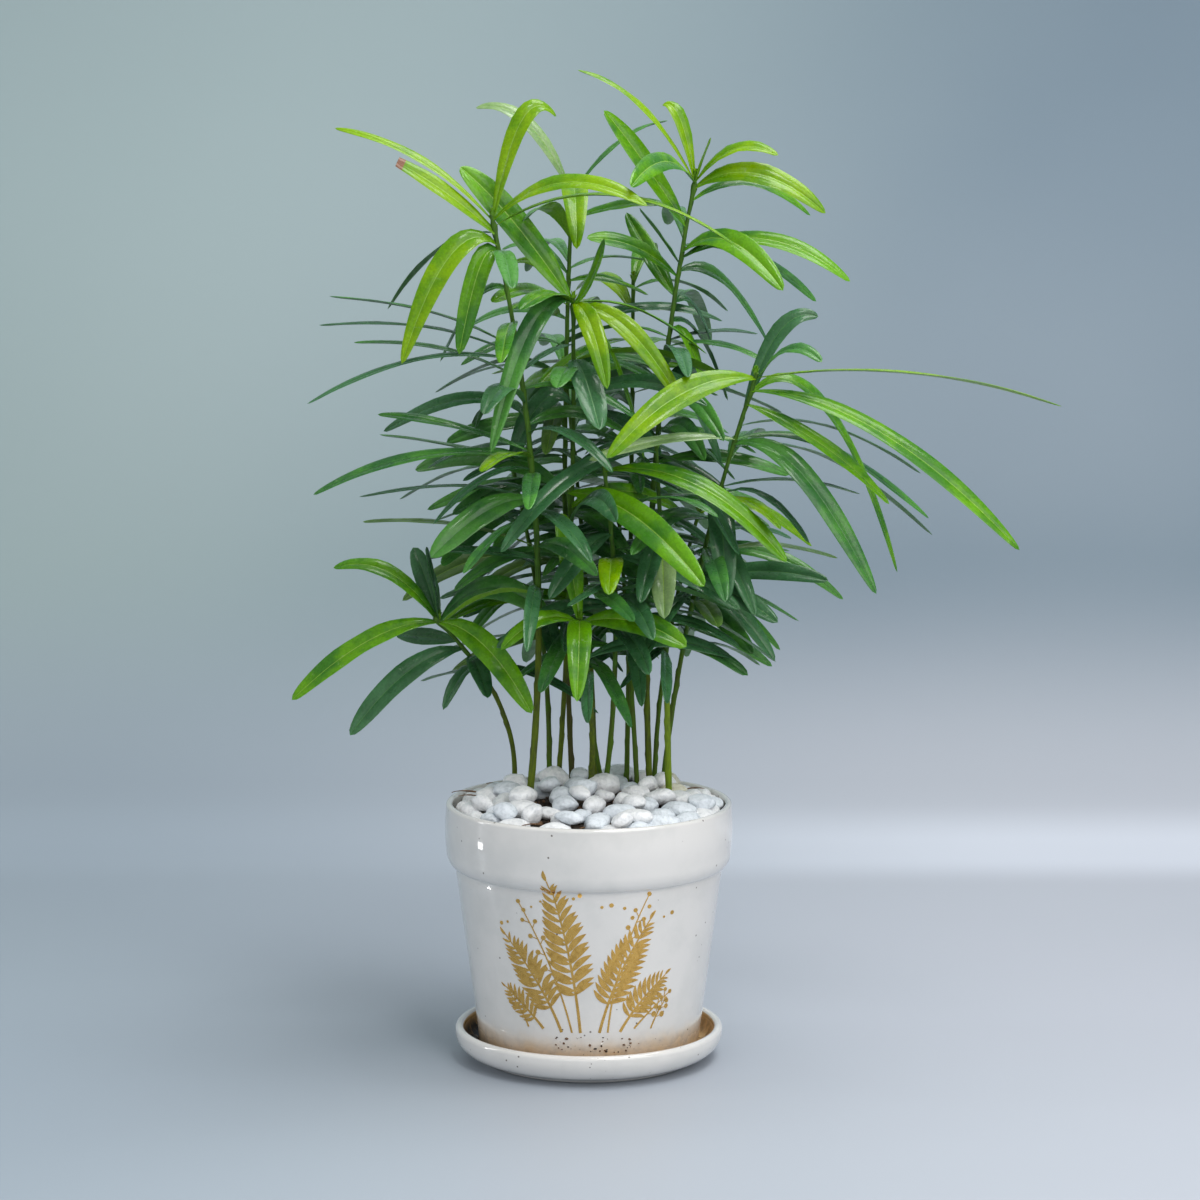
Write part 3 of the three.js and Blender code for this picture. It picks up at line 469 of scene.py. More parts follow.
def turned(profile, steps):
    """A profile of (radius, height) pairs that starts and ends on the axis, turned about +Z. The
    faces of both ends come last, one of the first and one of the last end by turns."""
    profile = np.array(profile, float)
    angles = full_turn(steps)
    inner = profile[1:-1]
    rings = np.stack([
        inner[:, 0, None] * np.cos(angles), inner[:, 0, None] * np.sin(angles),
        np.repeat(inner[:, 1, None], steps, 1)], -1).reshape(-1, 3)
    corners = np.vstack([rings, [[0, 0, profile[0, 1]], [0, 0, profile[-1, 1]]]])
    faces = skin_faces(len(inner), steps, False, False)
    foot, top, last = len(rings), len(rings) + 1, (len(inner) - 1) * steps
    for i in range(steps):
        j = (i + 1) % steps
        faces += [(foot, j, i), (top, last + i, last + j)]
    return corners, faces


def arc(centre, wide, high, start, end, steps):
    """Points of a profile on an arc, as (radius, height) pairs. The angles are in degrees."""
    angles = np.radians(np.linspace(start, end, steps + 1))
    return [(centre[0] + wide * math.cos(a), centre[1] + high * math.sin(a)) for a in angles]


def even_profile(profile, spacing):
    """The same profile with more points along its long straight runs."""
    made = [profile[0]]
    for (r0, z0), (r1, z1) in zip(profile, profile[1:]):
        count = max(1, math.ceil(math.hypot(r1 - r0, z1 - z0) / spacing))
        made += [(mix(r0, r1, i / count), mix(z0, z1, i / count)) for i in range(1, count + 1)]
    return made


def across_ring(centre, direction, radius, turns):
    """Points round a curve, square to its direction. radius may differ from point to point."""
    level = np.array([1.0, 0, 0])
    across = unit(level - direction * (direction @ level)[..., None])
    beyond = np.cross(direction, across)
    cos, sin = np.cos(turns)[None, :, None], np.sin(turns)[None, :, None]
    return centre[:, None] + radius[..., None] * (across[:, None] * cos + beyond[:, None] * sin)


def spun(points, heading, lean):
    """Points leant about X and then turned about Z, in radians."""
    cos, sin = math.cos(lean), math.sin(lean)
    x, y, z = points.T
    y, z = y * cos - z * sin, y * sin + z * cos
    cos, sin = math.cos(heading), math.sin(heading)
    return np.stack([x * cos - y * sin, x * sin + y * cos, z], -1)


def ripple(points, seed, waves=7):
    """A smooth random number from about -1 to 1 for each point, from a few crossed waves."""
    step = seeded_run(seed)
    total = np.zeros(len(points))
    for _ in range(waves):
        way = drawn_way(step)
        way *= mix(*RIPPLE_WAVES, step()) / max(SHORTEST_WAY, np.linalg.norm(way))
        total += np.sin(points @ way + step() * 2 * np.pi)
    return total / math.sqrt(waves) / RIPPLE_SCALE


def round_lump(levels):
    """Corners and faces of a ball with unit radius, made of even triangles."""
    ball = bmesh.new()
    bmesh.ops.create_icosphere(ball, subdivisions=levels, radius=1)
    corners = np.array([v.co[:] for v in ball.verts])
    faces = [tuple(v.index for v in f.verts) for f in ball.faces]
    ball.free()
    return corners, faces


# ---- Shader nodes and groups -----------------------------------------------------------

COLOUR, FLOAT = "NodeSocketColor", "NodeSocketFloat"
WHITE, BLACK = (1, 1, 1, 1), (0, 0, 0, 1)
MM_IN_METRE = 1000


def feed(tree, node, inputs):
    """Fills inputs, each found by its name or number, with a value or another node's output."""
    for key, value in inputs.items():
        socket = node.inputs[key if isinstance(key, int) else key.replace("_", " ")]
        if isinstance(value, bpy.types.NodeSocket):
            tree.links.new(value, socket)
        else:
            socket.default_value = value


def add_node(tree, kind, settings=None, numbered=None, **named):
    """A node with its settings, and with its numbered and named inputs filled."""
    node = tree.nodes.new(kind)
    for key, value in (settings or {}).items():
        setattr(node, key, value)
    feed(tree, node, {**(numbered or {}), **named})
    return node


def maths(tree, operation, first, second):
    return add_node(
        tree, "ShaderNodeMath", {"operation": operation}, {0: first, 1: second}).outputs[0]


def plus(tree, first, second):
    return maths(tree, "ADD", first, second)


def times(tree, first, second):
    return maths(tree, "MULTIPLY", first, second)


def stepped(tree, value, low, high, to_low=0.0, to_high=1.0):
    """value taken smoothly from one range to another."""
    made = add_node(
        tree, "ShaderNodeMapRange", {"interpolation_type": "SMOOTHSTEP"},
        Value=value, From_Min=low, From_Max=high, To_Min=to_low, To_Max=to_high)
    return made.outputs["Result"]


def blended(tree, share, first, second):
    inputs = {0: share, 6: first, 7: second}
    return add_node(tree, "ShaderNodeMix", {"data_type": "RGBA"}, inputs).outputs[2]


def position(tree):
    """Object coordinates in metres."""
    return add_node(tree, "ShaderNodeTexCoord").outputs["Object"]


def axes(tree):
    """Object coordinates in metres, one by one."""
    parts = add_node(tree, "ShaderNodeSeparateXYZ", Vector=position(tree))
    return [parts.outputs[axis] for axis in "XYZ"]


def places(tree, stretch=(1, 1, 1)):
    """Object coordinates in millimetres, stretched along each axis."""
    scale = tuple(MM_IN_METRE * s for s in stretch)
    made = add_node(tree, "ShaderNodeMapping", Vector=position(tree), Scale=scale)
    return made.outputs["Vector"]


def noise(tree, scale, detail=2.0, roughness=0.5, stretch=(1, 1, 1)):
    """Soft noise from 0 to 1. scale is for each millimetre."""
    made = add_node(
        tree, "ShaderNodeTexNoise", Vector=places(tree, stretch), Scale=scale, Detail=detail,
        Roughness=roughness)
    return made.outputs["Fac"]


def new_group(name, inputs, outputs):
    """An empty shader group with named sockets, the sockets that it is given, and its output node."""
    group = bpy.data.node_groups.new(name, "ShaderNodeTree")
    for label, value in inputs.items():
        kind = FLOAT if isinstance(value, float) else COLOUR
        socket = group.interface.new_socket(name=label, in_out="INPUT", socket_type=kind)
        socket.default_value = value
    for label, kind in outputs.items():
        group.interface.new_socket(name=label, in_out="OUTPUT", socket_type=kind)
    return group, group.nodes.new("NodeGroupInput").outputs, group.nodes.new("NodeGroupOutput")


def mottle_group():
    """Soft blotches of two colours, with a matching mask."""
    group, given, made = new_group(
        "mottle", {"First": WHITE, "Second": BLACK, "Scale": 0.1, "Low": 0.4, "High": 0.6},
        {"Color": COLOUR, "Mask": FLOAT})
    blotches = noise(group, given["Scale"], detail=4.0, roughness=0.6)
    mask = stepped(group, blotches, given["Low"], given["High"])
    colour = blended(group, mask, given["First"], given["Second"])
    feed(group, made, {"Color": colour, "Mask": mask})
    return group


def grain_group():
    """Fine grain for a Bump node, mixed from two sizes of noise."""
    group, given, made = new_group(
        "grain", {"Scale": 1.0, "Coarse Scale": 0.1, "Coarse Share": 0.5}, {"Height": FLOAT})
    fine, coarse = (noise(group, given[label], detail=3.0) for label in ("Scale", "Coarse Scale"))
    fine_share = maths(group, "SUBTRACT", 1.0, given["Coarse Share"])
    both = plus(group, times(group, coarse, given["Coarse Share"]), times(group, fine, fine_share))
    feed(group, made, {"Height": both})
    return group


def speck_group():
    """Scattered round specks: Size is a speck's radius, Spacing their mean distance, in millimetres,
    and Share how many of the places hold one."""
    ragged, soft_edge = 0.3, 0.2
    group, given, made = new_group(
        "specks", {"Spacing": 8.0, "Size": 0.4, "Share": 0.5}, {"Mask": FLOAT})
    scale = maths(group, "DIVIDE", 1.0, given["Spacing"])
    cells = add_node(group, "ShaderNodeTexVoronoi", Vector=places(group), Scale=scale)
    far = times(group, cells.outputs["Distance"], given["Spacing"])
    far = plus(group, far, times(group, noise(group, 2.2), ragged))
    edge = plus(group, given["Size"], soft_edge)
    near = stepped(group, far, given["Size"], edge, 1.0, 0.0)
    picked = add_node(group, "ShaderNodeSeparateColor", Color=cells.outputs["Color"]).outputs[0]
    held = maths(group, "LESS_THAN", picked, given["Share"])
    feed(group, made, {"Mask": times(group, near, held)})
    return group


def streak_group():
    """Long upright streaks in two colours for bark and twigs, with a height."""
    group, given, made = new_group(
        "streaks", {"First": WHITE, "Second": BLACK, "Low": 0.4, "High": 0.65},
        {"Color": COLOUR, "Height": FLOAT})
    ridges = noise(group, 1.3, detail=5.0, stretch=(1, 1, 0.12))
    both = plus(group, times(group, ridges, 0.6), times(group, noise(group, 0.16), 0.4))
    share = stepped(group, both, given["Low"], given["High"])
    colour = blended(group, share, given["First"], given["Second"])
    feed(group, made, {"Color": colour, "Height": ridges})
    return group


GROUP_MAKERS = {"mottle": mottle_group, "grain": grain_group, "specks": speck_group,
                "streaks": streak_group}


def place_group(tree, name, **inputs):
    """A shared group placed in a material with its own values, as its outputs."""
    group = bpy.data.node_groups.get(name) or GROUP_MAKERS[name]()
    return add_node(tree, "ShaderNodeGroup", {"node_tree": group}, **inputs).outputs


def solid(colour):
    return (*colour[:3], 1.0)


def mottled(tree, first, second, scale, low, high):
    return place_group(
        tree, "mottle", First=solid(first), Second=solid(second), Scale=scale, Low=low, High=high)


def specked(tree, spacing, size, share):
    return place_group(tree, "specks", Spacing=spacing, Size=size, Share=share)["Mask"]


def bump_into(tree, shader, height, strength, distance):
    """Relief on a surface. distance is in millimetres."""
    bump = add_node(tree, "ShaderNodeBump", Height=height, Strength=strength, Distance=distance * MM)
    feed(tree, shader, {"Normal": bump.outputs["Normal"]})


def roughen(tree, shader, scale, coarse_scale, coarse_share, strength, distance):
    """Relief from the shared grain."""
    grain = place_group(
        tree, "grain", Scale=scale, Coarse_Scale=coarse_scale, Coarse_Share=coarse_share)
    bump_into(tree, shader, grain["Height"], strength, distance)


# ---- Materials -------------------------------------------------------------------------

# Heights and places in millimetres: where the stains on the outside and the splashes over them
# begin and end, between which heights the inside of the saucer is stained, and where its silt ends;
# the silt is dark wet soil, made darker still as painted shade on the saucer's left side.
STAIN_FOOT = 12
STAIN_WANDER = 12
SPLASH_TOP = 34
STAINED_INSIDE = (8.5, 14.8)
SILT_AND_SHADE_EDGE = (-52, -36)
PORE_COLOUR = (0.28, 0.26, 0.22, 1)
SCUFF_COLOUR = (0.30, 0.42, 0.24)


def new_material(name, **settings):
    """A material with a Principled BSDF, its node tree and that shader."""
    material = bpy.data.materials.new(name)
    material.use_nodes = True
    tree = material.node_tree
    shader = tree.nodes["Principled BSDF"]
    feed(tree, shader, settings)
    return material, tree, shader


def glaze_material(name, settings, stain_top, stain_share):
    """White glaze with a few dark specks, stained brown below a height."""
    material, tree, shader = new_material(name, Coat_Weight=0.6, Coat_Roughness=0.04, IOR=1.52)
    clean = mottled(
        tree, settings.glaze_colour, settings.glaze_shade, scale=0.035, low=0.42, high=0.66)
    stain = mottled(
        tree, settings.stain_colour, settings.dirt_colour, scale=0.25, low=0.42, high=0.72)
    wander = times(tree, noise(tree, 0.09, detail=4.0), STAIN_WANDER * MM)
    level = plus(tree, axes(tree)[2], wander)
    low = stepped(tree, level, STAIN_FOOT * MM, stain_top * MM, stain_share, 0.0)
    soiled = blended(tree, low, clean["Color"], stain["Color"])
    near_foot = stepped(tree, level, STAIN_FOOT * MM, SPLASH_TOP * MM, 1.0, 0.0)
    splashes = times(tree, specked(tree, spacing=3.4, size=0.3, share=0.35), near_foot)
    dots = maths(tree, "MAXIMUM", specked(tree, spacing=6.5, size=0.5, share=0.9), splashes)
    dull = plus(tree, times(tree, low, 0.35), times(tree, dots, 0.4))
    feed(tree, shader, {
        "Base Color": blended(tree, times(tree, dots, 0.85), soiled, solid(settings.speck_colour)),
        "Roughness": plus(tree, dull, 0.09)})
    roughen(tree, shader, scale=0.5, coarse_scale=0.05, coarse_share=0.85, strength=0.25,
            distance=0.6)
    return material


def saucer_inside_material(settings):
    """Glaze that water and soil have stained, with dirt on it, and dark wet soil on its left side that
    is also painted shade.
    """
    material, tree, shader = new_material("stained_glaze", IOR=1.5, Coat_Weight=0.2)
    stain = mottled(
        tree, settings.stain_colour, settings.dirt_colour, scale=0.22, low=0.44, high=0.62)
    clean = mottled(
        tree, settings.glaze_colour, settings.stain_colour, scale=0.1, low=0.2, high=0.5)
    silt_and_shade = mottled(tree, settings.silt_colour, settings.dirt_colour, scale=0.3, low=0.45, high=0.7)
    along, _, up = axes(tree)
    deep = stepped(tree, up, *(z * MM for z in STAINED_INSIDE), 1.0, 0.0)
    # The silt on the left of the saucer's inside is dark soil and painted shade.
    silted_and_shaded = stepped(tree, along, *(x * MM for x in SILT_AND_SHADE_EDGE), 1.0, 0.0)
    colour = blended(tree, deep, clean["Color"], stain["Color"])
    colour = blended(tree, times(tree, silted_and_shaded, deep), colour, silt_and_shade["Color"])
    crumbs = times(tree, specked(tree, spacing=2.6, size=0.3, share=0.45), 0.8)
    feed(tree, shader, {
        "Base Color": blended(tree, crumbs, colour, solid(settings.speck_colour)),
        "Roughness": stepped(tree, deep, 0, 1, 0.18, 0.6)})
    roughen(tree, shader, scale=1.2, coarse_scale=0.2, coarse_share=0.4, strength=0.4, distance=0.5)
    return material


def gilding_material(settings):
    material, tree, shader = new_material("gilding", Metallic=1.0, Coat_Weight=0.15)
    worn = mottled(
        tree, settings.gilding_colour, settings.gilding_shade, scale=0.45, low=0.4, high=0.75)
    feed(tree, shader, {
        "Base Color": worn["Color"], "Roughness": stepped(tree, worn["Mask"], 0, 1, 0.26, 0.42)})
    roughen(tree, shader, scale=3.0, coarse_scale=0.4, coarse_share=0.3, strength=0.15, distance=0.1)
    return material


def soil_material(name, first, second):
    material, tree, shader = new_material(name, Roughness=0.92)
    feed(tree, shader, {
        "Base Color": mottled(tree, first, second, scale=0.7, low=0.4, high=0.7)["Color"]})
    roughen(tree, shader, scale=3.5, coarse_scale=0.9, coarse_share=0.5, strength=0.8, distance=1.0)
    return material


def pebble_material(name, first, second):
    """Tumbled stone: soft blotches, fine pores and a dull sheen."""
    material, tree, shader = new_material(
        name, Subsurface_Weight=0.12, Subsurface_Radius=(1.0, 1.0, 1.0), Subsurface_Scale=0.0015)
    blotches = mottled(tree, first, second, scale=0.45, low=0.42, high=0.72)
    pores = times(tree, specked(tree, spacing=3.0, size=0.2, share=0.4), 0.35)
    feed(tree, shader, {
        "Base Color": blended(tree, pores, blotches["Color"], PORE_COLOUR),
        "Roughness": stepped(tree, blotches["Mask"], 0, 1, 0.42, 0.62)})
    roughen(tree, shader, scale=0.8, coarse_scale=0.3, coarse_share=0.5, strength=0.7, distance=1.4)
    return material


def bark_material(name, first, second, roughness=0.6):
    material, tree, shader = new_material(name, Specular_IOR_Level=0.08)
    streaks = place_group(tree, "streaks", First=solid(first), Second=solid(second))
    rough = stepped(tree, streaks["Height"], 0.2, 0.8, roughness - 0.1, roughness + 0.12)
    feed(tree, shader, {"Base Color": streaks["Color"], "Roughness": rough})
    bump_into(tree, shader, streaks["Height"], strength=0.5, distance=0.25)
    return material


def leaf_material(name, colour, shade, gloss, shine=0.36, vein=0.42):
    """A leathery leaf: slow changes of green, a few pale scuffs, dulled patches and a fine ripple.
    gloss is the roughness of its glossiest places, shine its specular level and vein its relief."""
    material, tree, shader = new_material(
        name, Specular_IOR_Level=shine, Coat_Weight=0.3, Coat_Roughness=0.12, Subsurface_Weight=0.08,
        Subsurface_Radius=(0.5, 1.0, 0.1), Subsurface_Scale=0.0012)
    slow = mottled(tree, colour, shade, scale=0.04, low=0.42, high=0.62)
    bright = stepped(tree, noise(tree, 0.9, detail=3.0), 0.3, 0.75, 0.88, 1.12)
    tinted = add_node(tree, "ShaderNodeHueSaturation", Color=slow["Color"], Value=bright)
    scuffs = noise(tree, 0.13, detail=8.0, roughness=0.78)
    worn = stepped(tree, scuffs, 0.60, 0.70, 0.0, 0.5)
    dusty = stepped(tree, noise(tree, 0.22, detail=5.0), 0.38, 0.62, gloss, gloss + 0.28)
    feed(tree, shader, {
        "Base Color": blended(tree, worn, tinted.outputs["Color"], solid(SCUFF_COLOUR)),
        "Roughness": plus(tree, dusty, times(tree, worn, 0.3))})
    roughen(tree, shader, scale=1.2, coarse_scale=0.35, coarse_share=0.45, strength=vein,
            distance=0.5)
    return material


# ---- Settings --------------------------------------------------------------------------


def length_of(name, text, millimetres):
    return bpy.props.FloatProperty(
        name=name, description=text, default=millimetres * MM, unit="LENGTH", subtype="DISTANCE",
        precision=4)


def colour_of(name, text, colour):
    return bpy.props.FloatVectorProperty(
        name=name, description=text, default=colour, size=3, min=0, max=1, subtype="COLOR")


class PotSettings(bpy.types.PropertyGroup):
    rim_radius: length_of("Rim Radius", "Outside of the pot's upper band", RIM_RADIUS)
    gilding_relief: length_of("Gilding Relief", "How far the gold stands above the glaze", 0.14)
    glaze_colour: colour_of("Glaze", "Colour of the glaze", (0.755, 0.738, 0.712))
    glaze_shade: colour_of("Glaze Shade", "Colour of its thicker places", (0.70, 0.69, 0.665))
    stain_colour: colour_of("Stain", "Colour of the water stain", (0.64, 0.43, 0.20))
    dirt_colour: colour_of("Dirt", "Colour of its darker places", (0.38, 0.25, 0.12))
    # Silt: dark wet soil in the saucer, made darker and bluer as painted shade.
    silt_colour: colour_of("Silt", "Colour of the wet soil in the saucer", (0.030, 0.034, 0.040))
    speck_colour: colour_of("Specks", "Colour of the specks of soil", (0.06, 0.035, 0.02))
    gilding_colour: colour_of("Gold", "Colour of the gold design", (0.74, 0.45, 0.12))
    gilding_shade: colour_of("Worn Gold", "Colour of its darker places", (0.52, 0.30, 0.07))


class BedSettings(bpy.types.PropertyGroup):
    pebble_long: length_of("Pebble Length", "Half the length of a middling pebble", 7.9)
    pebble_wide: length_of("Pebble Width", "Half its width", 5.7)
    pebble_thick: length_of("Pebble Thickness", "Half its thickness", 4.6)
    pebbles: bpy.props.IntProperty(
        name="Pebbles", description="Number of pebbles on the soil", default=132, min=40, max=400)
    crumbs: bpy.props.IntProperty(
        name="Crumbs", description="Number of crumbs of soil", default=900, min=0, max=3000)
    white_colour: colour_of("White", "Colour of most pebbles", (0.90, 0.91, 0.92))
    blue_colour: colour_of("Bluish White", "Colour of the cooler pebbles", (0.76, 0.81, 0.86))
    cream_colour: colour_of("Cream", "Colour of the few yellow pebbles", (0.68, 0.67, 0.54))
    soil_colour: colour_of("Soil", "Colour of the soil", (0.028, 0.019, 0.013))
    litter_colour: colour_of("Litter", "Colour of the bits of bark", (0.14, 0.075, 0.04))


class StemSettings(bpy.types.PropertyGroup):
    foot_radius: length_of("Foot Radius", "Radius of a stem at the soil", STEM_FOOT_RADIUS)
    tip_radius: length_of("Tip Radius", "Radius of a stem at its bud", STEM_TIP_RADIUS)
    olive_colour: colour_of("Olive Bark", "Colour of most stems", (0.110, 0.155, 0.014))
    green_colour: colour_of("Green Bark", "Colour of the younger stems", (0.075, 0.155, 0.014))
    brown_colour: colour_of("Brown Bark", "Colour of the oldest stem", (0.085, 0.095, 0.024))
    lime_colour: colour_of("Bright Bark", "Colour of the brightest stem", (0.17, 0.26, 0.02))
    twig_colour: colour_of("Twig", "Colour of the leafy part of a stem", (0.075, 0.17, 0.02))


class LeafSettings(bpy.types.PropertyGroup):
    thickness: length_of("Thickness", "Thickness of a leaf beside its midrib", 0.45)
    fold: bpy.props.FloatProperty(
        name="Fold", description="Rise of a leaf's halves to its edges, as a share of their width",
        default=0.13, min=0, max=0.5)
    dark_colour: colour_of("Dark", "Colour of the old leaves", (0.045, 0.150, 0.054))
    mid_colour: colour_of("Middle", "Colour of the grown leaves", (0.062, 0.222, 0.030))
    fresh_colour: colour_of("Fresh", "Colour of the younger leaves", (0.108, 0.300, 0.003))
    lime_colour: colour_of("Lime", "Colour of the new leaves", (0.182, 0.342, 0.0))
    olive_colour: colour_of("Olive", "Colour of a few dull leaves", (0.105, 0.215, 0.035))
    # A few leaves show their paler grey-green face, and this colour is lightened further as a painted
    # highlight.
    pale_colour: colour_of("Pale", "Colour of a few pale leaves", (0.220, 0.350, 0.120))
    under_colour: colour_of("Underside", "Colour of the undersides", (0.080, 0.210, 0.060))
    scorch_colour: colour_of("Dry Tip", "Colour of a dried tip", (0.30, 0.14, 0.08))


class StageSettings(bpy.types.PropertyGroup):
    floor_colour: colour_of("Floor", "Colour of the floor", (0.47, 0.49, 0.545))
    # Painted shadow: the floor darkens and cools to the left of the plant, where the pot's shadow
    # falls.
    floor_shade: colour_of("Floor Shade", "Colour of its left side", (0.295, 0.35, 0.41))
    wall_colour: colour_of("Backdrop", "Colour of the backdrop", (0.29, 0.375, 0.38))
    # Painted shade: the backdrop darkens and cools towards its right side, reaching further left low
    # down.
    wall_shade: colour_of("Backdrop Shade", "Colour of its right side", (0.098, 0.157, 0.212))
    light: bpy.props.FloatProperty(
        name="Light", description="Strength of all the lights, as a share", default=1.0, min=0)


# ---- Curves and the rule for leaves ----------------------------------------------------


def soil_height(radius):
    return SOIL_EDGE + SOIL_HEAP * (1 - radius / BED_RADIUS)


def stem_curve(seedling):
    (x, y), bud, bow = seedling.foot, seedling.bud, seedling.bow
    ground = soil_height(math.hypot(x, y)) + 2 * GAP
    towards = ((x + bud[0]) / 2 + 2 * bow[0], (y + bud[1]) / 2 + 2 * bow[1], (ground + bud[2]) / 2)
    return Bend((x, y, ground), towards, bud)


def place_at_height(curve, height):
    start, end = curve.corners[0][2], curve.corners[2][2]
    return (height - start) / (end - start)


def blade_share(t, bluntness=BLUNTNESS):
    """A strap leaf widens from its stalk, stays wide along its middle and closes in a round tip."""
    grow = mix(STALK_SHARE, 1, np.sin(np.pi / 2 * np.minimum(1, t / FULL_FROM)))
    past = np.clip((t - FULL_FROM) / (1 - FULL_FROM), 0, 1)
    return grow * np.sqrt(1 - past ** bluntness)


def stations(steps, crowd=STATION_CROWD):
    """Places along a leaf, closer together towards its tip."""
    even = np.arange(steps + 1) / steps
    return mix(even, np.sin(np.pi / 2 * even), crowd)


def leaf_line(curve, leaf):
    """The curve of a leaf from its root, the level direction across it, and its roll."""
    at, bearing, reach, rise, arch, width, turn = leaf[:7]
    root = curve.point(min(at, 1 - BUD_DEPTH / curve.length()))
    cos, sin = round_spot(1, math.radians(bearing))
    shoulder = LEAF_SHOULDER * reach
    line = Bend(
        root, root + (shoulder * cos, shoulder * sin, rise / 2 + arch),
        root + (reach * cos, reach * sin, rise))
    roll = math.radians(turn) * (1 if cos >= 0 else -1)
    return line, np.array([-sin, cos, 0.0]), roll


def sides_and_normals(along, level, roll):
    up = np.cross(along, level)
    roll = np.broadcast_to(roll, len(along))[:, None]
    side = level * np.cos(roll) + up * np.sin(roll)
    return side, np.cross(along, side)


def sample_count(length):
    return max(2, math.ceil(length / LEAF_SAMPLE))


class Reach:
    """The space of one leaf: points over its blade, and the flat panels between its stations."""

    def __init__(self, curve, leaf):
        line, level, roll = leaf_line(curve, leaf)
        steps = max(3, math.floor(line.length() / LEAF_SECTION + 0.5))
        t = stations(steps)
        centre = line.point(t)
        side, _ = sides_and_normals(line.tangent(t), level, roll)
        half = leaf[5] / 2 * blade_share(t)
        half[-1] = TIP_HALF
        along = np.diff(centre, axis=0)
        length = np.linalg.norm(along, axis=1)
        along /= length[:, None]
        side = side[:-1] + side[1:]
        side = unit(side - along * (side * along).sum(1)[:, None])
        self.panels = np.hstack([
            centre[:-1], along, side, np.cross(along, side), length[:, None],
            half[:-1, None], half[1:, None]])
        points = []
        for k in range(steps):
            count = sample_count(length[k])
            share = (np.arange(count) / count)[:, None]
            middle = mix(centre[k], centre[k + 1], share)
            out = side[k] * mix(half[k], half[k + 1], share)
            points += [middle - out, middle, middle + out]
        points.append(centre[-1:])
        self.points = np.vstack(points)
        self.root_points = 3 * sample_count(length[0])
        self.low, self.high = self.points.min(0), self.points.max(0)


def nearest(points, panels):
    """The smallest distance from any of the points to any of the panels."""
    start, along, side, normal = (panels[:, i:i + 3] for i in (0, 3, 6, 9))
    length, from_half, to_half = panels[:, 12], panels[:, 13], panels[:, 14]

    def measured(direction):
        return points @ direction.T - (start * direction).sum(1)

    run = measured(along)
    share = np.clip(run / length, 0, 1)
    past = np.maximum(0, np.maximum(-run, run - length))
    beside = np.maximum(0, np.abs(measured(side)) - mix(from_half, to_half, share))
    return math.sqrt((past ** 2 + beside ** 2 + measured(normal) ** 2).min())


def grown(measure, up):
    """A measure of a spiral leaf by how far up the stem it grows."""
    return mix(LOW_LEAF[measure], HIGH_LEAF[measure], up)


def spiral_leaves(curve, seedling, number, fine):
    """Leaves that follow each other up the stem in a spiral, longer and higher near the bud."""
    height = seedling.bud[2] - seedling.leaves_from
    count = math.floor(height / LEAF_PITCH)
    leaves = []
    for i in range(count):
        step = seeded_run(number * LEAF_SEEDS + i + (FINE_SEED if fine else 0))
        up = (i + (1.0 if fine else 0.5)) / count
        at = min(1, place_at_height(curve, seedling.leaves_from + height * up))
        bearing = number * SEEDLING_TURN + i * LEAF_TURN + (LEAF_TURN / 2 if fine else 0)
        bearing = (bearing + spread(step, BEARING_SPREAD)) % 360
        reach = grown("reach", up) * mix(*REACH_SPREAD, step())
        rise = reach * (grown("rise", up) + spread(step, RISE_SPREAD))
        arch = reach * mix(*ARCH_SHARE, step())
        width = grown("width", up) * mix(*WIDTH_SPREAD, step())
        turn = (step() - ROLL_LEAST) * ROLL_SPREAD
        if fine:
            reach, rise, arch = reach * FINE_REACH, rise * FINE_REACH, arch * FINE_REACH
        tone = spiral_tone(up, at, seedling.bud[2], step())
        leaves.append((at, bearing, reach, rise, arch, width, turn, tone))
    return leaves


def spiral_tone(up, at, bud_height, chance):
    """Old dark leaves low down, and fresh ones near the bud of a tall seedling."""
    if at > 0.92 and bud_height > SUNLIT_HEIGHT:
        return "lime" if chance < 0.5 else "fresh"
    if at > 0.8 and bud_height > SUNLIT_HEIGHT:
        return "fresh" if chance < 0.6 else "mid"
    if at > 0.92:
        return "fresh" if chance < 0.4 else "mid"
    if chance > 0.95:
        return "olive"
    return "mid" if chance < 0.35 + 0.4 * up else "dark"


def crowds(leaf, others, height, room=1.0):
    for other in others:
        turn = abs(other[1] - leaf[1]) % 360
        near = abs(other[0] - leaf[0]) * height < CROWD_HEIGHT * room
        if near and min(turn, 360 - turn) < CROWD_BEARING * room:
            return True
    return False


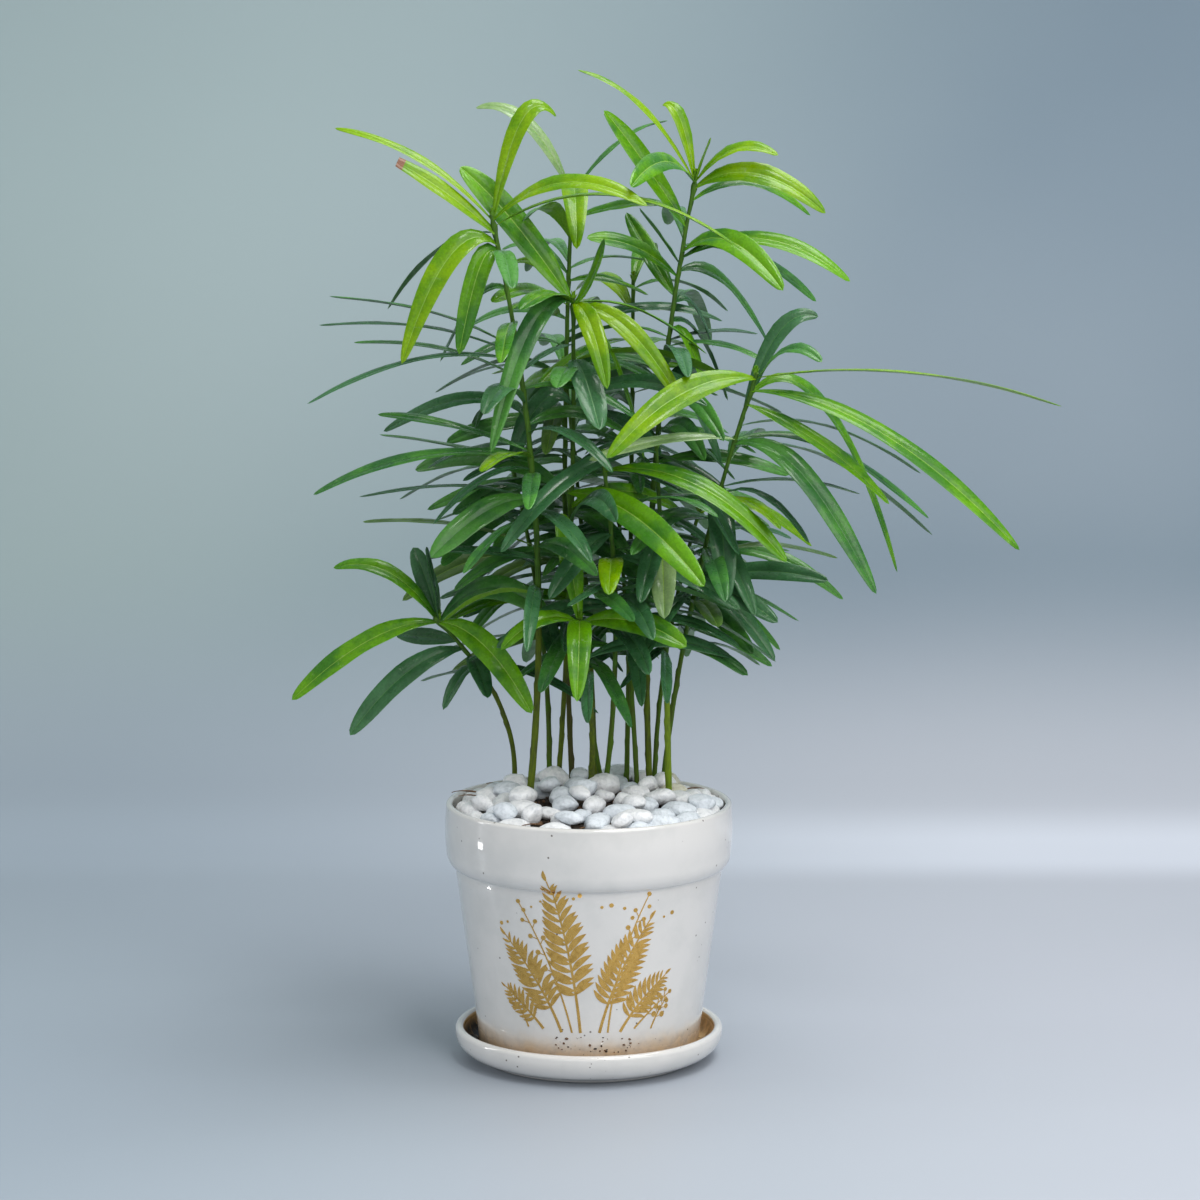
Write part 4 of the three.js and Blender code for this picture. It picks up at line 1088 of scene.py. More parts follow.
class Crown:
    """Places every leaf that keeps clear, turning it a little where that helps."""

    def __init__(self):
        self.curves = [stem_curve(s) for s in SEEDLINGS]
        counts = [math.ceil(c.length() / STEM_SAMPLE) + 1 for c in self.curves]
        stems = [c.point(np.linspace(0, 1, count)) for c, count in zip(self.curves, counts)]
        self.stem_points = np.vstack(stems)
        self.stem_owner = np.repeat(np.arange(len(stems)), counts)
        self.leaves, self.reaches, self.owners = [], [], []
        self.lows, self.highs = np.zeros((0, 3)), np.zeros((0, 3))
        for owner, seedling in enumerate(SEEDLINGS):
            for leaf in seedling.leaves:
                self.try_leaf(owner, leaf, LEAF_CLEARANCE, OWN_CLEARANCE)
        for fine in (False, True):
            for owner, seedling in enumerate(SEEDLINGS):
                self.fill(owner, seedling, fine)

    def fill(self, owner, seedling, fine):
        curve = self.curves[owner]
        height = seedling.bud[2] - curve.corners[0][2]
        clearance = FINE_CLEARANCE if fine else LEAF_CLEARANCE
        for leaf in spiral_leaves(curve, seedling, owner, fine):
            if fine and leaf[0] > FINE_TOP:
                break
            if not crowds(leaf, seedling.leaves, height, 0.5 if fine else 1.0):
                self.try_leaf(owner, leaf, clearance, clearance / 2)

    def try_leaf(self, owner, leaf, clearance, own_clearance):
        at, bearing, reach, rise, *rest = leaf
        for turn, lift in NUDGES:
            nudged = (at, bearing + turn, reach, rise + lift, *rest)
            shape = Reach(self.curves[owner], nudged)
            if self.is_clear(owner, shape, clearance, own_clearance):
                self.leaves.append(nudged)
                self.reaches.append(shape)
                self.owners.append(owner)
                self.lows = np.vstack([self.lows, shape.low])
                self.highs = np.vstack([self.highs, shape.high])
                return

    def is_clear(self, owner, shape, clearance, own_clearance):
        others = self.stem_points[self.stem_owner != owner]
        close = ((others > shape.low - STEM_CLEARANCE) & (others < shape.high + STEM_CLEARANCE)).all(1)
        if close.any() and nearest(others[close], shape.panels) < STEM_CLEARANCE:
            return False
        met = ((self.lows < shape.high + clearance) & (self.highs > shape.low - clearance)).all(1)
        for own, room in ((False, clearance), (True, own_clearance)):
            found = [self.reaches[i] for i in np.flatnonzero(met) if (self.owners[i] == owner) == own]
            if not found:
                continue
            skip = 1 if own else 0
            points = np.vstack([r.points[r.root_points * skip:] for r in found])
            panels = np.vstack([r.panels[skip:] for r in found])
            mine = shape.points[shape.root_points * skip:]
            if nearest(points, shape.panels[skip:]) < room or nearest(mine, panels) < room:
                return False
        return True


# ---- Leaves and stems as meshes --------------------------------------------------------

# The number of a tone's material on a leaf's blade, on its midrib and on its underside.
TONES = {"dark": (0, 6, 8), "mid": (1, 6, 8), "fresh": (2, 7, 9), "lime": (3, 7, 9),
         "olive": (4, 7, 9), "pale": (5, 7, 9)}
SCORCH = 10

# A leaf's section: across from -1 to 1 over its upper face, then back under it.
UPPER = (1, 0.88, 0.52, 0.11, 0.035, -0.035, -0.11, -0.52, -0.88, -1)
UNDER = (-0.62, -0.12, 0.12, 0.62)
MIDRIB_STRIP = 4
MIDRIB_CORNERS = slice(4, 6)
KEEL_CORNERS = slice(1, 3)

BLADE_STEP = 4.6                  # length of one section of a blade, within the two counts below
BLADE_STEPS = (8, 28)
BLADE_CROWD = 0.8
BLADE_TWIST = 26
BLADE_SWAY = 0.035                # sway and lift are shares of its length
BLADE_LIFT = 0.02
YOUNG_BLUNTNESS = (1.5, 2.2)
GROWN_BLUNTNESS = (2.0, 3.4)
EDGE_WAVE = 0.05                  # wave and bulge are shares of its half width
EDGE_WAVES = (1.5, 3.2)
BULGE = 0.045
FOLD_SPREAD = (0.8, 1.2)          # share of the fold that is set
MIDRIB_DEPTH = 0.16
EDGE_DROP = 0.22
EDGE_THICKNESS = 0.08
KEEL = 0.3
CUT_END = 0.9                     # share of a whole blade that a cut one has
CUT_HALF = 0.5                    # its least half width, as a share

STEM_STEP = 1.3
STEM_SIDES = 16
RIDGES = {"count": 5, "height": 0.035, "twist": 6}
WAIST = {"height": 0.03, "pace": 0.35}
CUSHION = {"height": 0.42, "below": 3.4, "above": 0.7, "round": 0.55}
OUTER_SCALE = {"reach": 1.5, "rise": 3.6}
INNER_SCALE = {"reach": 0.7, "rise": 5.2}
SCALES = 3                        # bud scales of either kind
SCALE_ARCH, SCALE_WIDTH = 0.5, 1.9


def add_leaf(shape, curve, leaf, seed, thickness, fold):
    """One strap leaf: folded along a sunken midrib, a little wavy, with a keel under it."""
    step = seeded_run(seed)
    line, level, roll = leaf_line(curve, leaf)
    length = line.length()
    cut = leaf[7] == "cut"
    tone = "lime" if cut else leaf[7]
    t = stations(int(np.clip(round(length / BLADE_STEP), *BLADE_STEPS)), BLADE_CROWD)
    swirl = math.radians(spread(step, BLADE_TWIST))
    rolls = roll * smooth(-0.3, 0.2, t) + swirl * t * t
    side, normal = sides_and_normals(line.tangent(t), level, rolls)
    bluntness = mix(*(YOUNG_BLUNTNESS if tone == "lime" else GROWN_BLUNTNESS), step())
    half = leaf[5] / 2 * blade_share(t, bluntness)
    if cut:
        half = leaf[5] / 2 * np.maximum(CUT_HALF, blade_share(t * CUT_END))
    sway = spread(step, BLADE_SWAY) * length
    lift = spread(step, BLADE_LIFT) * length
    centre = line.point(t) + side * (sway * np.sin(np.pi * t) * t)[:, None]
    centre += normal * (lift * np.sin(2 * np.pi * t) * t)[:, None]
    phase, waves = step() * PHASE_RANGE, mix(*EDGE_WAVES, step())
    x = np.array(UPPER + UNDER)
    wave = EDGE_WAVE * np.sin(2 * np.pi * waves * t + phase)
    out = half[:, None] * x
    rise = fold * half[:, None] * np.abs(x) * mix(*FOLD_SPREAD, step())
    rise = rise + half[:, None] * BULGE * np.sin(np.pi * np.abs(x)) + out * wave[:, None]
    rise = rise - EDGE_DROP * smooth(0.8, 1.0, np.abs(x))
    rise[:, MIDRIB_CORNERS] -= MIDRIB_DEPTH * smooth(0, 0.12, t)[:, None]
    thick = np.full(len(UNDER), thickness)
    thick[KEEL_CORNERS] += KEEL
    rise[:, len(UPPER):] -= thick * np.minimum(1, half / 2)[:, None]
    rise[:, [0, len(UPPER) - 1]] -= EDGE_THICKNESS
    corners = centre[:, None] + side[:, None] * out[..., None] + normal[:, None] * rise[..., None]
    if cut:
        shape.add(corners.reshape(-1, 3), *leaf_skin(len(corners), tone, cut))
    else:
        pointed = np.vstack([corners[:-1].reshape(-1, 3), centre[-1]])
        shape.add(pointed, *leaf_skin(len(corners) - 1, tone, cut))


def leaf_skin(rings, tone, cut):
    """The faces over a leaf's sections, and the material of each. A whole leaf ends in a point."""
    sides = len(UPPER + UNDER)
    blade, midrib, under = TONES[tone]
    strips = [blade] * (len(UPPER) - 1) + [under] * (len(UNDER) + 1)
    strips[MIDRIB_STRIP] = midrib
    faces = skin_faces(rings, sides, True, cut)
    finishes = strips * (rings - 1) + [under]
    if cut:
        finishes[-1 - 2 * sides:] = [SCORCH] * (2 * sides + 2)
    else:
        last = (rings - 1) * sides
        faces += [(last + i, last + (i + 1) % sides, last + sides) for i in range(sides)]
        finishes += strips
    return faces, finishes


def stem_radius(at, height, stout, settings):
    flare = 1 + (ROOT_FLARE - 1) * np.maximum(0, 1 - at * height / FLARE_HEIGHT)
    return mix(settings.foot_radius / MM * stout, settings.tip_radius / MM, at) * flare


def add_stem(shape, curve, start, end, stout, settings, seed, cushions):
    """A length of stem with its ridges, and a swelling under each leaf or old leaf scar."""
    height = curve.corners[2][2] - curve.corners[0][2]
    length = curve.length() * (end - start)
    at = np.linspace(start, end, max(4, math.ceil(length / STEM_STEP)) + 1)
    turns = full_turn(STEM_SIDES)
    radius = stem_radius(at, height, stout, settings)[:, None] * np.ones((1, len(turns)))
    step = seeded_run(seed)
    twist, phase = spread(step, RIDGES["twist"]), step() * PHASE_RANGE
    ridges = np.sin(RIDGES["count"] * turns[None, :] + twist * at[:, None] + phase)
    radius *= 1 + RIDGES["height"] * ridges
    radius *= 1 + WAIST["height"] * np.sin(at[:, None] * height * WAIST["pace"] + phase)
    for place, bearing in cushions:
        off = (at - place)[:, None] * height
        drop = np.exp(-((off / np.where(off < 0, CUSHION["below"], CUSHION["above"])) ** 2))
        turn = np.abs((turns - math.radians(bearing) + np.pi) % (2 * np.pi) - np.pi)
        radius += CUSHION["height"] * drop * np.exp(-((turn / CUSHION["round"]) ** 2))[None, :]
    shape.add_tube(curve, at, radius, turns)


def add_bud(shape, curve, seed, tone):
    """Small pointed scales wrapped round the tip of a shoot."""
    step = seeded_run(seed)
    for i, size in enumerate([OUTER_SCALE] * SCALES + [INNER_SCALE] * SCALES):
        bearing = i * LEAF_TURN + step() * 20
        reach = size["reach"] + step() * 0.5
        rise = size["rise"] + step()
        scale = (BUD_PLACE, bearing, reach, rise, SCALE_ARCH, SCALE_WIDTH, 0, tone)
        add_leaf(shape, curve, scale, seed + i, thickness=0.3, fold=0.45)


# ---- The pot's outline and its gold design ---------------------------------------------

CREASE = 1.1                      # radius of the crease under the pot's upper band
SWELL_STEPS = range(-75, 90, 15)  # degrees
PROFILE_SPACING = 4
POT_SIDES = 160
SAUCER_SIDES = 144
RIM_BANDS = 3                     # how far over the saucer's rim its stained inside begins

FROND_PARTS = 40
SPRAY_PARTS = 24
FROND_HALF = (0.7, 0.25)          # half widths, from foot to tip
SPRAY_HALF = (0.45, 0.2)
LEAFLET_ANGLE = (62, 34)          # degrees from the stalk, from foot to tip
LEAFLET_SLIMNESS = 0.24
BERRY_ANGLE = 48
BERRY_STEM = 3.6
BERRY_STEM_HALF = 0.18
BERRY_RADIUS = (1.35, 0.9)
LEAFLET_BOW = 0.08
OUTLINE_POINTS = 9                # along a leaflet or a dot
SUNK_IN_GLAZE = -0.25


def pot_profile():
    """The pot from the middle of its underside, up its outside, and down its inside."""
    base = SAUCER_FLOOR + GAP
    floor = base + POT_FLOOR
    inside = RIM_RADIUS - LIP
    half = LIP / 2
    foot = BODY_FOOT_RADIUS - FOOT_ROUND
    band = BAND_FOOT + BAND_ROUND
    outer = [(0, base), (foot - 6, base), (foot - 5, base)]
    outer += arc((foot, base + FOOT_ROUND), FOOT_ROUND, FOOT_ROUND, -90, 0, 8)
    outer += [(mix(BODY_FOOT_RADIUS, BODY_TOP_RADIUS, 0.97), BAND_FOOT - 2.2)]
    outer += arc((BODY_TOP_RADIUS + CREASE * 0.4, BAND_FOOT - CREASE), CREASE, CREASE, 170, 90, 4)
    outer += arc((BODY_TOP_RADIUS, band), RIM_RADIUS - BODY_TOP_RADIUS, BAND_ROUND, -72, -4, 12)
    for turn in SWELL_STEPS:
        swell = BAND_SWELL * math.cos(math.radians(turn))
        outer += [(RIM_RADIUS + swell, mix(band, POT_TOP - 3, turn / 180 + 0.5))]
    outer += arc((RIM_RADIUS - half, POT_TOP - half), half, half, 0, 180, 12)
    hollow = [
        (inside, BAND_FOOT + BAND_INSIDE + 4), (inside - 0.4, BAND_FOOT + BAND_INSIDE),
        (BODY_TOP_RADIUS - WALL + 0.6, BAND_FOOT + 2), (BODY_TOP_RADIUS - WALL, BAND_FOOT - 2),
        (BODY_FOOT_RADIUS - WALL + 1, floor + 3), (BODY_FOOT_RADIUS - WALL - 2, floor), (0, floor)]
    return outer, hollow


def outside_radius(heights):
    """The radius of the pot's outside, from the rounding of its foot to under its lip."""
    outer, _ = pot_profile()
    radii, levels = zip(*[(r, z) for r, z in outer[3:] if z < POT_TOP - LIP])
    return np.interp(heights, levels, radii)


def pot_swell(angle, height):
    """How far the thrown wall stands out of round, in millimetres."""
    return 0.12 * np.sin(3 * angle + 0.6) + 0.08 * np.sin(7 * angle + height * 0.05)


def bent_line(x, z, lean, length, bend, parts):
    """A stalk that leans and goes on bending: its points, and its angle at each of them."""
    angle = np.radians(90 - lean - bend * np.linspace(0, 1, parts + 1))
    steps = np.stack([np.cos(angle), np.sin(angle)], -1) * length / parts
    return np.array([x, z]) + np.vstack([[0, 0], np.cumsum(steps, 0)[:-1]]), angle


class Gilding:
    """Flat gold shapes laid on the outside of the pot. Across is along its surface, from the middle
    of the front, and up is the height."""

    def __init__(self, relief):
        self.shape, self.relief = Shape(), relief

    def wrap(self, across, up):
        angle = -np.pi / 2 + across / GOLD_ROUND
        for lift in (SUNK_IN_GLAZE, self.relief):
            radius = outside_radius(up) + pot_swell(angle, up) + lift
            yield np.stack([radius * np.cos(angle), radius * np.sin(angle), up], -1)

    def strip(self, line, half):
        """A strip along a line of points, with its half width at each of them."""
        line, half = np.asarray(line, float), np.asarray(half, float)
        along = unit(np.gradient(line, axis=0))
        out = np.stack([-along[:, 1], along[:, 0]], -1) * half[:, None]
        rows = np.stack([line - out, line, line + out], 1)
        under, over = self.wrap(rows[..., 0], rows[..., 1])
        ring = np.stack([under[:, 2], under[:, 0], over[:, 0], over[:, 1], over[:, 2]], 1)
        faces = [face[::-1] for face in skin_faces(len(line), ring.shape[1])]
        self.shape.add(ring.reshape(-1, 3), faces)

    def leaflet(self, x, z, heading, length, width):
        t = np.linspace(0, 1, OUTLINE_POINTS)
        way = np.array(round_spot(1, math.radians(heading)))
        bow = np.array([-way[1], way[0]]) * LEAFLET_BOW * length
        line = np.array([x, z]) + way * (t * length)[:, None] + bow * np.sin(np.pi * t)[:, None]
        self.strip(line, width / 2 * np.maximum(0.03, np.sin(np.pi * t ** 0.9) ** 0.8))

    def dot(self, x, z, radius):
        t = np.linspace(-1, 1, OUTLINE_POINTS)
        line = np.array([x, z]) + np.stack([t * radius, 0 * t], -1)
        self.strip(line, radius * np.sqrt(np.maximum(0.004, 1 - t * t)))

    def frond(self, x, z, lean, length, bend, pairs, reach):
        """A bending stalk with crowded pairs of slim leaflets, longest below its middle."""
        line, angle = bent_line(x, z, lean, length, bend, FROND_PARTS)
        self.strip(line, mix(*FROND_HALF, np.linspace(0, 1, len(line))))
        for share in np.arange(pairs) / pairs:
            k = round(mix(0.24, 0.97, share) * FROND_PARTS)
            long = reach * math.sin(math.pi * mix(0.3, 0.93, share)) ** 0.8
            for side in (-1, 1):
                heading = math.degrees(angle[k]) + side * mix(*LEAFLET_ANGLE, share)
                self.leaflet(*line[k], heading, long, long * LEAFLET_SLIMNESS)
        self.leaflet(*line[-1], math.degrees(angle[-1]), reach * 0.42, reach * 0.13)

    def spray(self, x, z, lean, length, bend, berries):
        """A thin stalk with round berries on short stems to both sides of it."""
        line, angle = bent_line(x, z, lean, length, bend, SPRAY_PARTS)
        self.strip(line, mix(*SPRAY_HALF, np.linspace(0, 1, len(line))))
        for i in range(berries):
            k = round(mix(9, 22, i / berries))
            way = angle[k] + math.radians(BERRY_ANGLE if i % 2 else -BERRY_ANGLE)
            tip = line[k] + BERRY_STEM * np.array(round_spot(1, way))
            self.strip([mix(line[k], tip, share) for share in (0, 0.5, 1)], [BERRY_STEM_HALF] * 3)
            self.dot(*tip, mix(*BERRY_RADIUS, i / berries))
        self.dot(*line[-1], 1.0)


# ---- Operators -------------------------------------------------------------------------


class PODOCARPUS_OT_saucer(bpy.types.Operator):
    """Make the glazed saucer with its stained inside"""

    bl_idname = "podocarpus.saucer"
    bl_label = "Saucer"
    bl_options = {"REGISTER", "UNDO"}

    def execute(self, context):
        settings = context.scene.podocarpus_pot
        inside = SAUCER_RADIUS - SAUCER_WALL
        half = SAUCER_WALL / 2
        top = SAUCER_HEIGHT - half
        foot, bulge = SAUCER_FOOT_RADIUS, SAUCER_RADIUS - SAUCER_FOOT_RADIUS
        outer = [(0, SAUCER_RECESS), (foot - 6, SAUCER_RECESS), (foot - 5, 0.4)]
        outer += arc((foot - FOOT_RING, FOOT_RING_HEIGHT), FOOT_RING, FOOT_RING_HEIGHT, -150, 0, 8)
        outer += arc((foot + SAUCER_UNDERCUT, SAUCER_WAIST), bulge - SAUCER_UNDERCUT,
                     SAUCER_WAIST - SAUCER_FOOT_HEIGHT, -80, 0, 18)
        outer += arc((SAUCER_RADIUS - half, top), half, half, 0, 180, 12)
        hollow = arc((inside - SAUCER_HOLLOW, top), SAUCER_HOLLOW, top - SAUCER_FLOOR, -8, -90, 10)
        hollow += [(BODY_FOOT_RADIUS, SAUCER_FLOOR), (0, SAUCER_FLOOR)]
        corners, faces = turned(outer + hollow, SAUCER_SIDES)
        clean = (len(outer) - 1 - RIM_BANDS) * SAUCER_SIDES
        stained = len(faces) - clean - 2 * SAUCER_SIDES
        shape = Shape()
        shape.add(corners, faces, [0] * clean + [1] * stained + [0, 1] * SAUCER_SIDES)
        glaze = glaze_material("saucer_glaze", settings, stain_top=3.0, stain_share=0.0)
        materials = [glaze, saucer_inside_material(settings)]
        shape.piece("glazed_saucer", materials, "glaze", ["saucer"], sharp=60)
        return {"FINISHED"}


class PODOCARPUS_OT_pot(bpy.types.Operator):
    """Make the glazed pot with its upper band"""

    bl_idname = "podocarpus.pot"
    bl_label = "Pot"
    bl_options = {"REGISTER", "UNDO"}

    def execute(self, context):
        outer, hollow = pot_profile()
        corners, faces = turned(even_profile(outer + hollow, PROFILE_SPACING), POT_SIDES)
        angle = np.arctan2(corners[:, 1], corners[:, 0])
        radius = np.hypot(corners[:, 0], corners[:, 1])
        swell = pot_swell(angle, corners[:, 2]) * smooth(20, 45, radius)
        corners[:, 0] += np.cos(angle) * swell
        corners[:, 1] += np.sin(angle) * swell
        shape = Shape()
        shape.add(corners, faces)
        settings = context.scene.podocarpus_pot
        material = glaze_material("pot_glaze", settings, stain_top=31.0, stain_share=0.9)
        shape.piece("glazed_pot", [material], "glaze", ["pot"], sharp=60)
        return {"FINISHED"}


class PODOCARPUS_OT_gilding(bpy.types.Operator):
    """Lay the gold design of fern-like fronds, sprays of berries and dots on the front of the pot"""

    bl_idname = "podocarpus.gilding"
    bl_label = "Gold Design"
    bl_options = {"REGISTER", "UNDO"}

    def execute(self, context):
        settings = context.scene.podocarpus_pot
        gold = Gilding(settings.gilding_relief / MM)
        for frond in GOLD_FRONDS:
            gold.frond(*frond)
        for spray in GOLD_SPRAYS:
            gold.spray(*spray)
        step = seeded_run(GOLD_SEED)
        for i in range(GOLD_DOTS):
            x = mix(GOLD_DOTS_FROM, GOLD_DOTS_TO, (i + 0.5) / GOLD_DOTS) + spread(step, 4)
            z = GOLD_DOTS_TOP - abs(x + 2) * GOLD_DOTS_FALL + spread(step, 9)
            gold.dot(x, z, mix(*GOLD_DOT_RADIUS, step()))
        gold.shape.piece("gold_design", [gilding_material(settings)], "gilding", sharp=30)
        return {"FINISHED"}


class PODOCARPUS_OT_soil(bpy.types.Operator):
    """Make the crumbly soil, and the bits of bark and twig that lie on it"""

    bl_idname = "podocarpus.soil"
    bl_label = "Soil and Litter"
    bl_options = {"REGISTER", "UNDO"}

    def execute(self, context):
        settings = context.scene.podocarpus_bed
        self.add_ground(settings)
        self.add_crumbs(settings)
        self.add_fallen_twigs(settings)
        return {"FINISHED"}

    def add_ground(self, settings):
        floor = SAUCER_FLOOR + 2 * GAP + POT_FLOOR
        radii = np.linspace(BED_RADIUS - 0.6, 1.2, SOIL_RINGS)
        profile = [(0, floor), (BODY_FOOT_RADIUS - WALL - 3, floor),
                   (BODY_TOP_RADIUS - WALL - 1, BAND_FOOT)]
        profile += [(r, soil_height(r) + SOIL_LIFT) for r in (*radii, 0)]
        corners, faces = turned(profile, SOIL_SIDES)
        top = corners[:, 2] > SOIL_EDGE
        clods = 0.7 * ripple(corners[top] * 0.28, 5)
        corners[top, 2] += clods + 0.45 * ripple(corners[top] * 0.9, 6)
        shape = Shape()
        shape.add(corners, faces)
        material = soil_material("potting_soil", settings.soil_colour, (0.07, 0.045, 0.028))
        shape.piece("soil_surface", [material], "soil", ["soil"], sharp=80)

    def add_crumbs(self, settings):
        """Crumbs of soil and bark on the soil, in the saucer and on the wall of the pot above it."""
        lump, faces = round_lump(1)
        shape = Shape()
        step = seeded_run(CRUMB_SEED)

        def crumb(size, seed, dents=0.3):
            return lump * (1 + dents * ripple(lump * 1.4, seed, 4))[:, None] * size

        for i in range(settings.crumbs):
            radius = (BED_RADIUS - 2) * math.sqrt(step())
            turn = step() * 2 * np.pi
            size = mix(*CRUMB_SIZE, step() ** 2)
            form = crumb(size, DENT_SEEDS["soil"] + i, 0.28)
            form[:, 0] *= mix(*CRUMB_LENGTH, step() ** 3)
            form = spun(form, step() * np.pi, spread(step, 1.2))
            centre = (*round_spot(radius, turn), soil_height(radius) + CRUMB_LIFT)
            shape.add(form + centre, faces, 0 if step() < 0.72 else 1)
        for i in range(SAUCER_CRUMBS):
            smeared = i % 2 == 0
            turn = math.radians(mix(*SMEAR, step())) if smeared else step() * 2 * np.pi
            radius = mix(BODY_FOOT_RADIUS + 0.8, SAUCER_RADIUS - SAUCER_WALL - 2.4, step())
            size = mix(*SAUCER_CRUMB_SIZE, step() ** 2)
            form = crumb(size, DENT_SEEDS["saucer"] + i)
            centre = (*round_spot(radius, turn), SAUCER_FLOOR + 0.5 * size)
            shape.add(form + centre, faces, 0 if step() < 0.6 else 1)
        for i in range(WALL_CRUMBS):
            turn = math.radians(-90 + mix(*SPLASH, step()))
            up = mix(*WALL_CRUMB_HEIGHT, step() ** 1.6)
            size = mix(*WALL_CRUMB_SIZE, step() ** 2)
            form = crumb(size, DENT_SEEDS["wall"] + i)
            form[:, 0] *= mix(*WALL_CRUMB_LENGTH, step())
            centre = (*round_spot(float(outside_radius(up)) + 0.3 * size, turn), up)
            shape.add(form + centre, faces, 1 if step() < 0.7 else 0)
        materials = [soil_material("soil_crumbs", settings.soil_colour, (0.06, 0.038, 0.022)),
                     soil_material("bark_crumbs", settings.litter_colour, (0.22, 0.13, 0.07))]
        shape.piece("soil_crumbs", materials, "soil", sharp=80)

    def add_fallen_twigs(self, settings):
        """Thin dry twigs that lie on the soil and over the pebbles at the wall."""
        shape = Shape()
        step = seeded_run(TWIG_SEED)
        at = np.linspace(0, 1, 14)
        turns = full_turn(7)
        for x, y, lift, heading, length in FALLEN_TWIGS:
            way = np.array([*round_spot(1, math.radians(heading)), 0])
            start = np.array([x, y, soil_height(math.hypot(x, y)) + lift])
            bow = np.array([spread(step, 0.5), spread(step, 0.5), 0.16]) * length
            curve = Bend(start, start + way * length / 2 + bow, start + way * length)
            radius = mix(*FALLEN_RADIUS, at)[:, None] * (1 + 0.2 * np.sin(9 * at + x))[:, None]
            shape.add_tube(curve, at, radius * np.ones((1, len(turns))), turns)
        material = soil_material("dry_twig", settings.litter_colour, (0.24, 0.14, 0.07))
        shape.piece("fallen_twigs", [material], "soil", sharp=80)


class PODOCARPUS_OT_pebbles(bpy.types.Operator):
    """Heap pale pebbles on the soil, each dropped into the lowest of a few places"""

    bl_idname = "podocarpus.pebbles"
    bl_label = "Pebbles"
    bl_options = {"REGISTER", "UNDO"}

    def execute(self, context):
        settings = context.scene.podocarpus_bed
        lump, faces = round_lump(4)
        shape = Shape()
        step = seeded_run(PEBBLE_SEED)
        for i, (x, y, z, size, heading) in enumerate(self.heap(settings, step)):
            form = self.tumbled(lump, PEBBLE_DENT_SEED + i, step)
            form *= np.array([settings.pebble_long, settings.pebble_wide, settings.pebble_thick]) / MM
            form *= size * np.array([mix(*limits, step()) for limits in PEBBLE_VARIETY])
            form = spun(form, heading, spread(step, PEBBLE_LEAN))
            chance = step()
            finish = 2 if chance > CREAM_ABOVE else int(chance > BLUE_ABOVE)
            shape.add(form + (x, y, z), faces, finish)
        materials = [
            pebble_material("white_pebble", settings.white_colour, (0.72, 0.74, 0.76)),
            pebble_material("bluish_pebble", settings.blue_colour, (0.58, 0.63, 0.67)),
            pebble_material("cream_pebble", settings.cream_colour, (0.42, 0.37, 0.24))]
        shape.piece("pebbles", materials, "pebble", ["pebble_bed"], sharp=80)
        return {"FINISHED"}

    def tumbled(self, lump, seed, step):
        """A ball worn into a stone: squared a little, dented, and with a few flats."""
        form = np.sign(lump) * np.abs(lump) ** mix(*SQUARENESS, step())
        form *= (1 + DENTS["depth"] * ripple(lump * DENTS["scale"], seed, 5))[:, None]
        pits = ripple(lump * PITS["scale"], seed + PITS["seed"], 6)
        form *= (1 + PITS["depth"] * pits)[:, None]
        for _ in range(FLATS):
            way = drawn_way(step)
            way /= max(SHORTEST_WAY, np.linalg.norm(way))
            past = np.maximum(0, form @ way - mix(*FLAT_START, step()))
            form -= (FLAT_DEPTH * past)[:, None] * way
        return form

    def heap(self, settings, step):
        """Where each pebble comes to rest: its place, its size and its heading. The first ones lie
        along the wall, and each of the others goes to the lowest of a few places."""
        mean = (settings.pebble_long + settings.pebble_wide + settings.pebble_thick) / 3 / MM
        rests = self.along_wall(settings, step, mean)
        for _ in range(settings.pebbles - WALL_PEBBLES):
            best = self.lowest(np.array(rests), step, mean * mix(*PEBBLE_SIZE, step()))
            if best and best[3] - soil_height(math.hypot(best[1], best[2])) <= PEBBLE_STACK:
                rests.append(best[1:])
        return [(x, y, z, room / mean, heading) for x, y, z, room, heading in rests]

    def along_wall(self, settings, step, mean):
        bare = np.array(BARE_SOIL, float)
        rests = []
        for i in range(WALL_PEBBLES):
            size = mix(*WALL_PEBBLE_SIZE, step())
            turn = (i + spread(step, 0.5)) * 2 * math.pi / WALL_PEBBLES
            spot = round_spot(BED_RADIUS + 0.9 - settings.pebble_wide / MM * size * 1.05, turn)
            if np.any(np.hypot(bare[:, 0] - spot[0], bare[:, 1] - spot[1]) < bare[:, 2] + 1):
                continue
            height = WALL_PEBBLE_HEIGHT + spread(step, 2)
            heading = turn + math.pi / 2 + spread(step, 0.9)
            rests.append((*spot, height, mean * size * WALL_PEBBLE_ROOM, heading))
        return rests

    def lowest(self, others, step, room):
        """The lowest of a few places where a pebble with this much room round it would rest."""
        stems = np.array([seedling.foot for seedling in SEEDLINGS], float)
        bare = np.array(BARE_SOIL, float)
        best = None
        for _ in range(PEBBLE_TRIES):
            radius = (BED_RADIUS - 0.5 - room) * math.sqrt(step())
            spot = np.array(round_spot(radius, step() * 2 * math.pi))
            if np.hypot(*(stems - spot).T).min() < room * 0.8 + STEM_FOOT_RADIUS:
                continue
            if np.any(np.hypot(*(bare[:, :2] - spot).T) < bare[:, 2] + room * 0.5):
                continue
            z = soil_height(radius) + PEBBLE_LIFT + room * PEBBLE_SINK
            flat = np.hypot(*(others[:, :2] - spot).T)
            reach = others[:, 3] + room
            under = flat < reach
            if under.any():
                over = PEBBLE_NEST * np.sqrt(reach[under] ** 2 - flat[under] ** 2)
                z = max(z, (others[under, 2] + over).max())
            low = z - soil_height(radius) - room * 0.3
            if best is None or low < best[0]:
                best = (low, *spot, z, room, step() * 2 * math.pi)
        return best


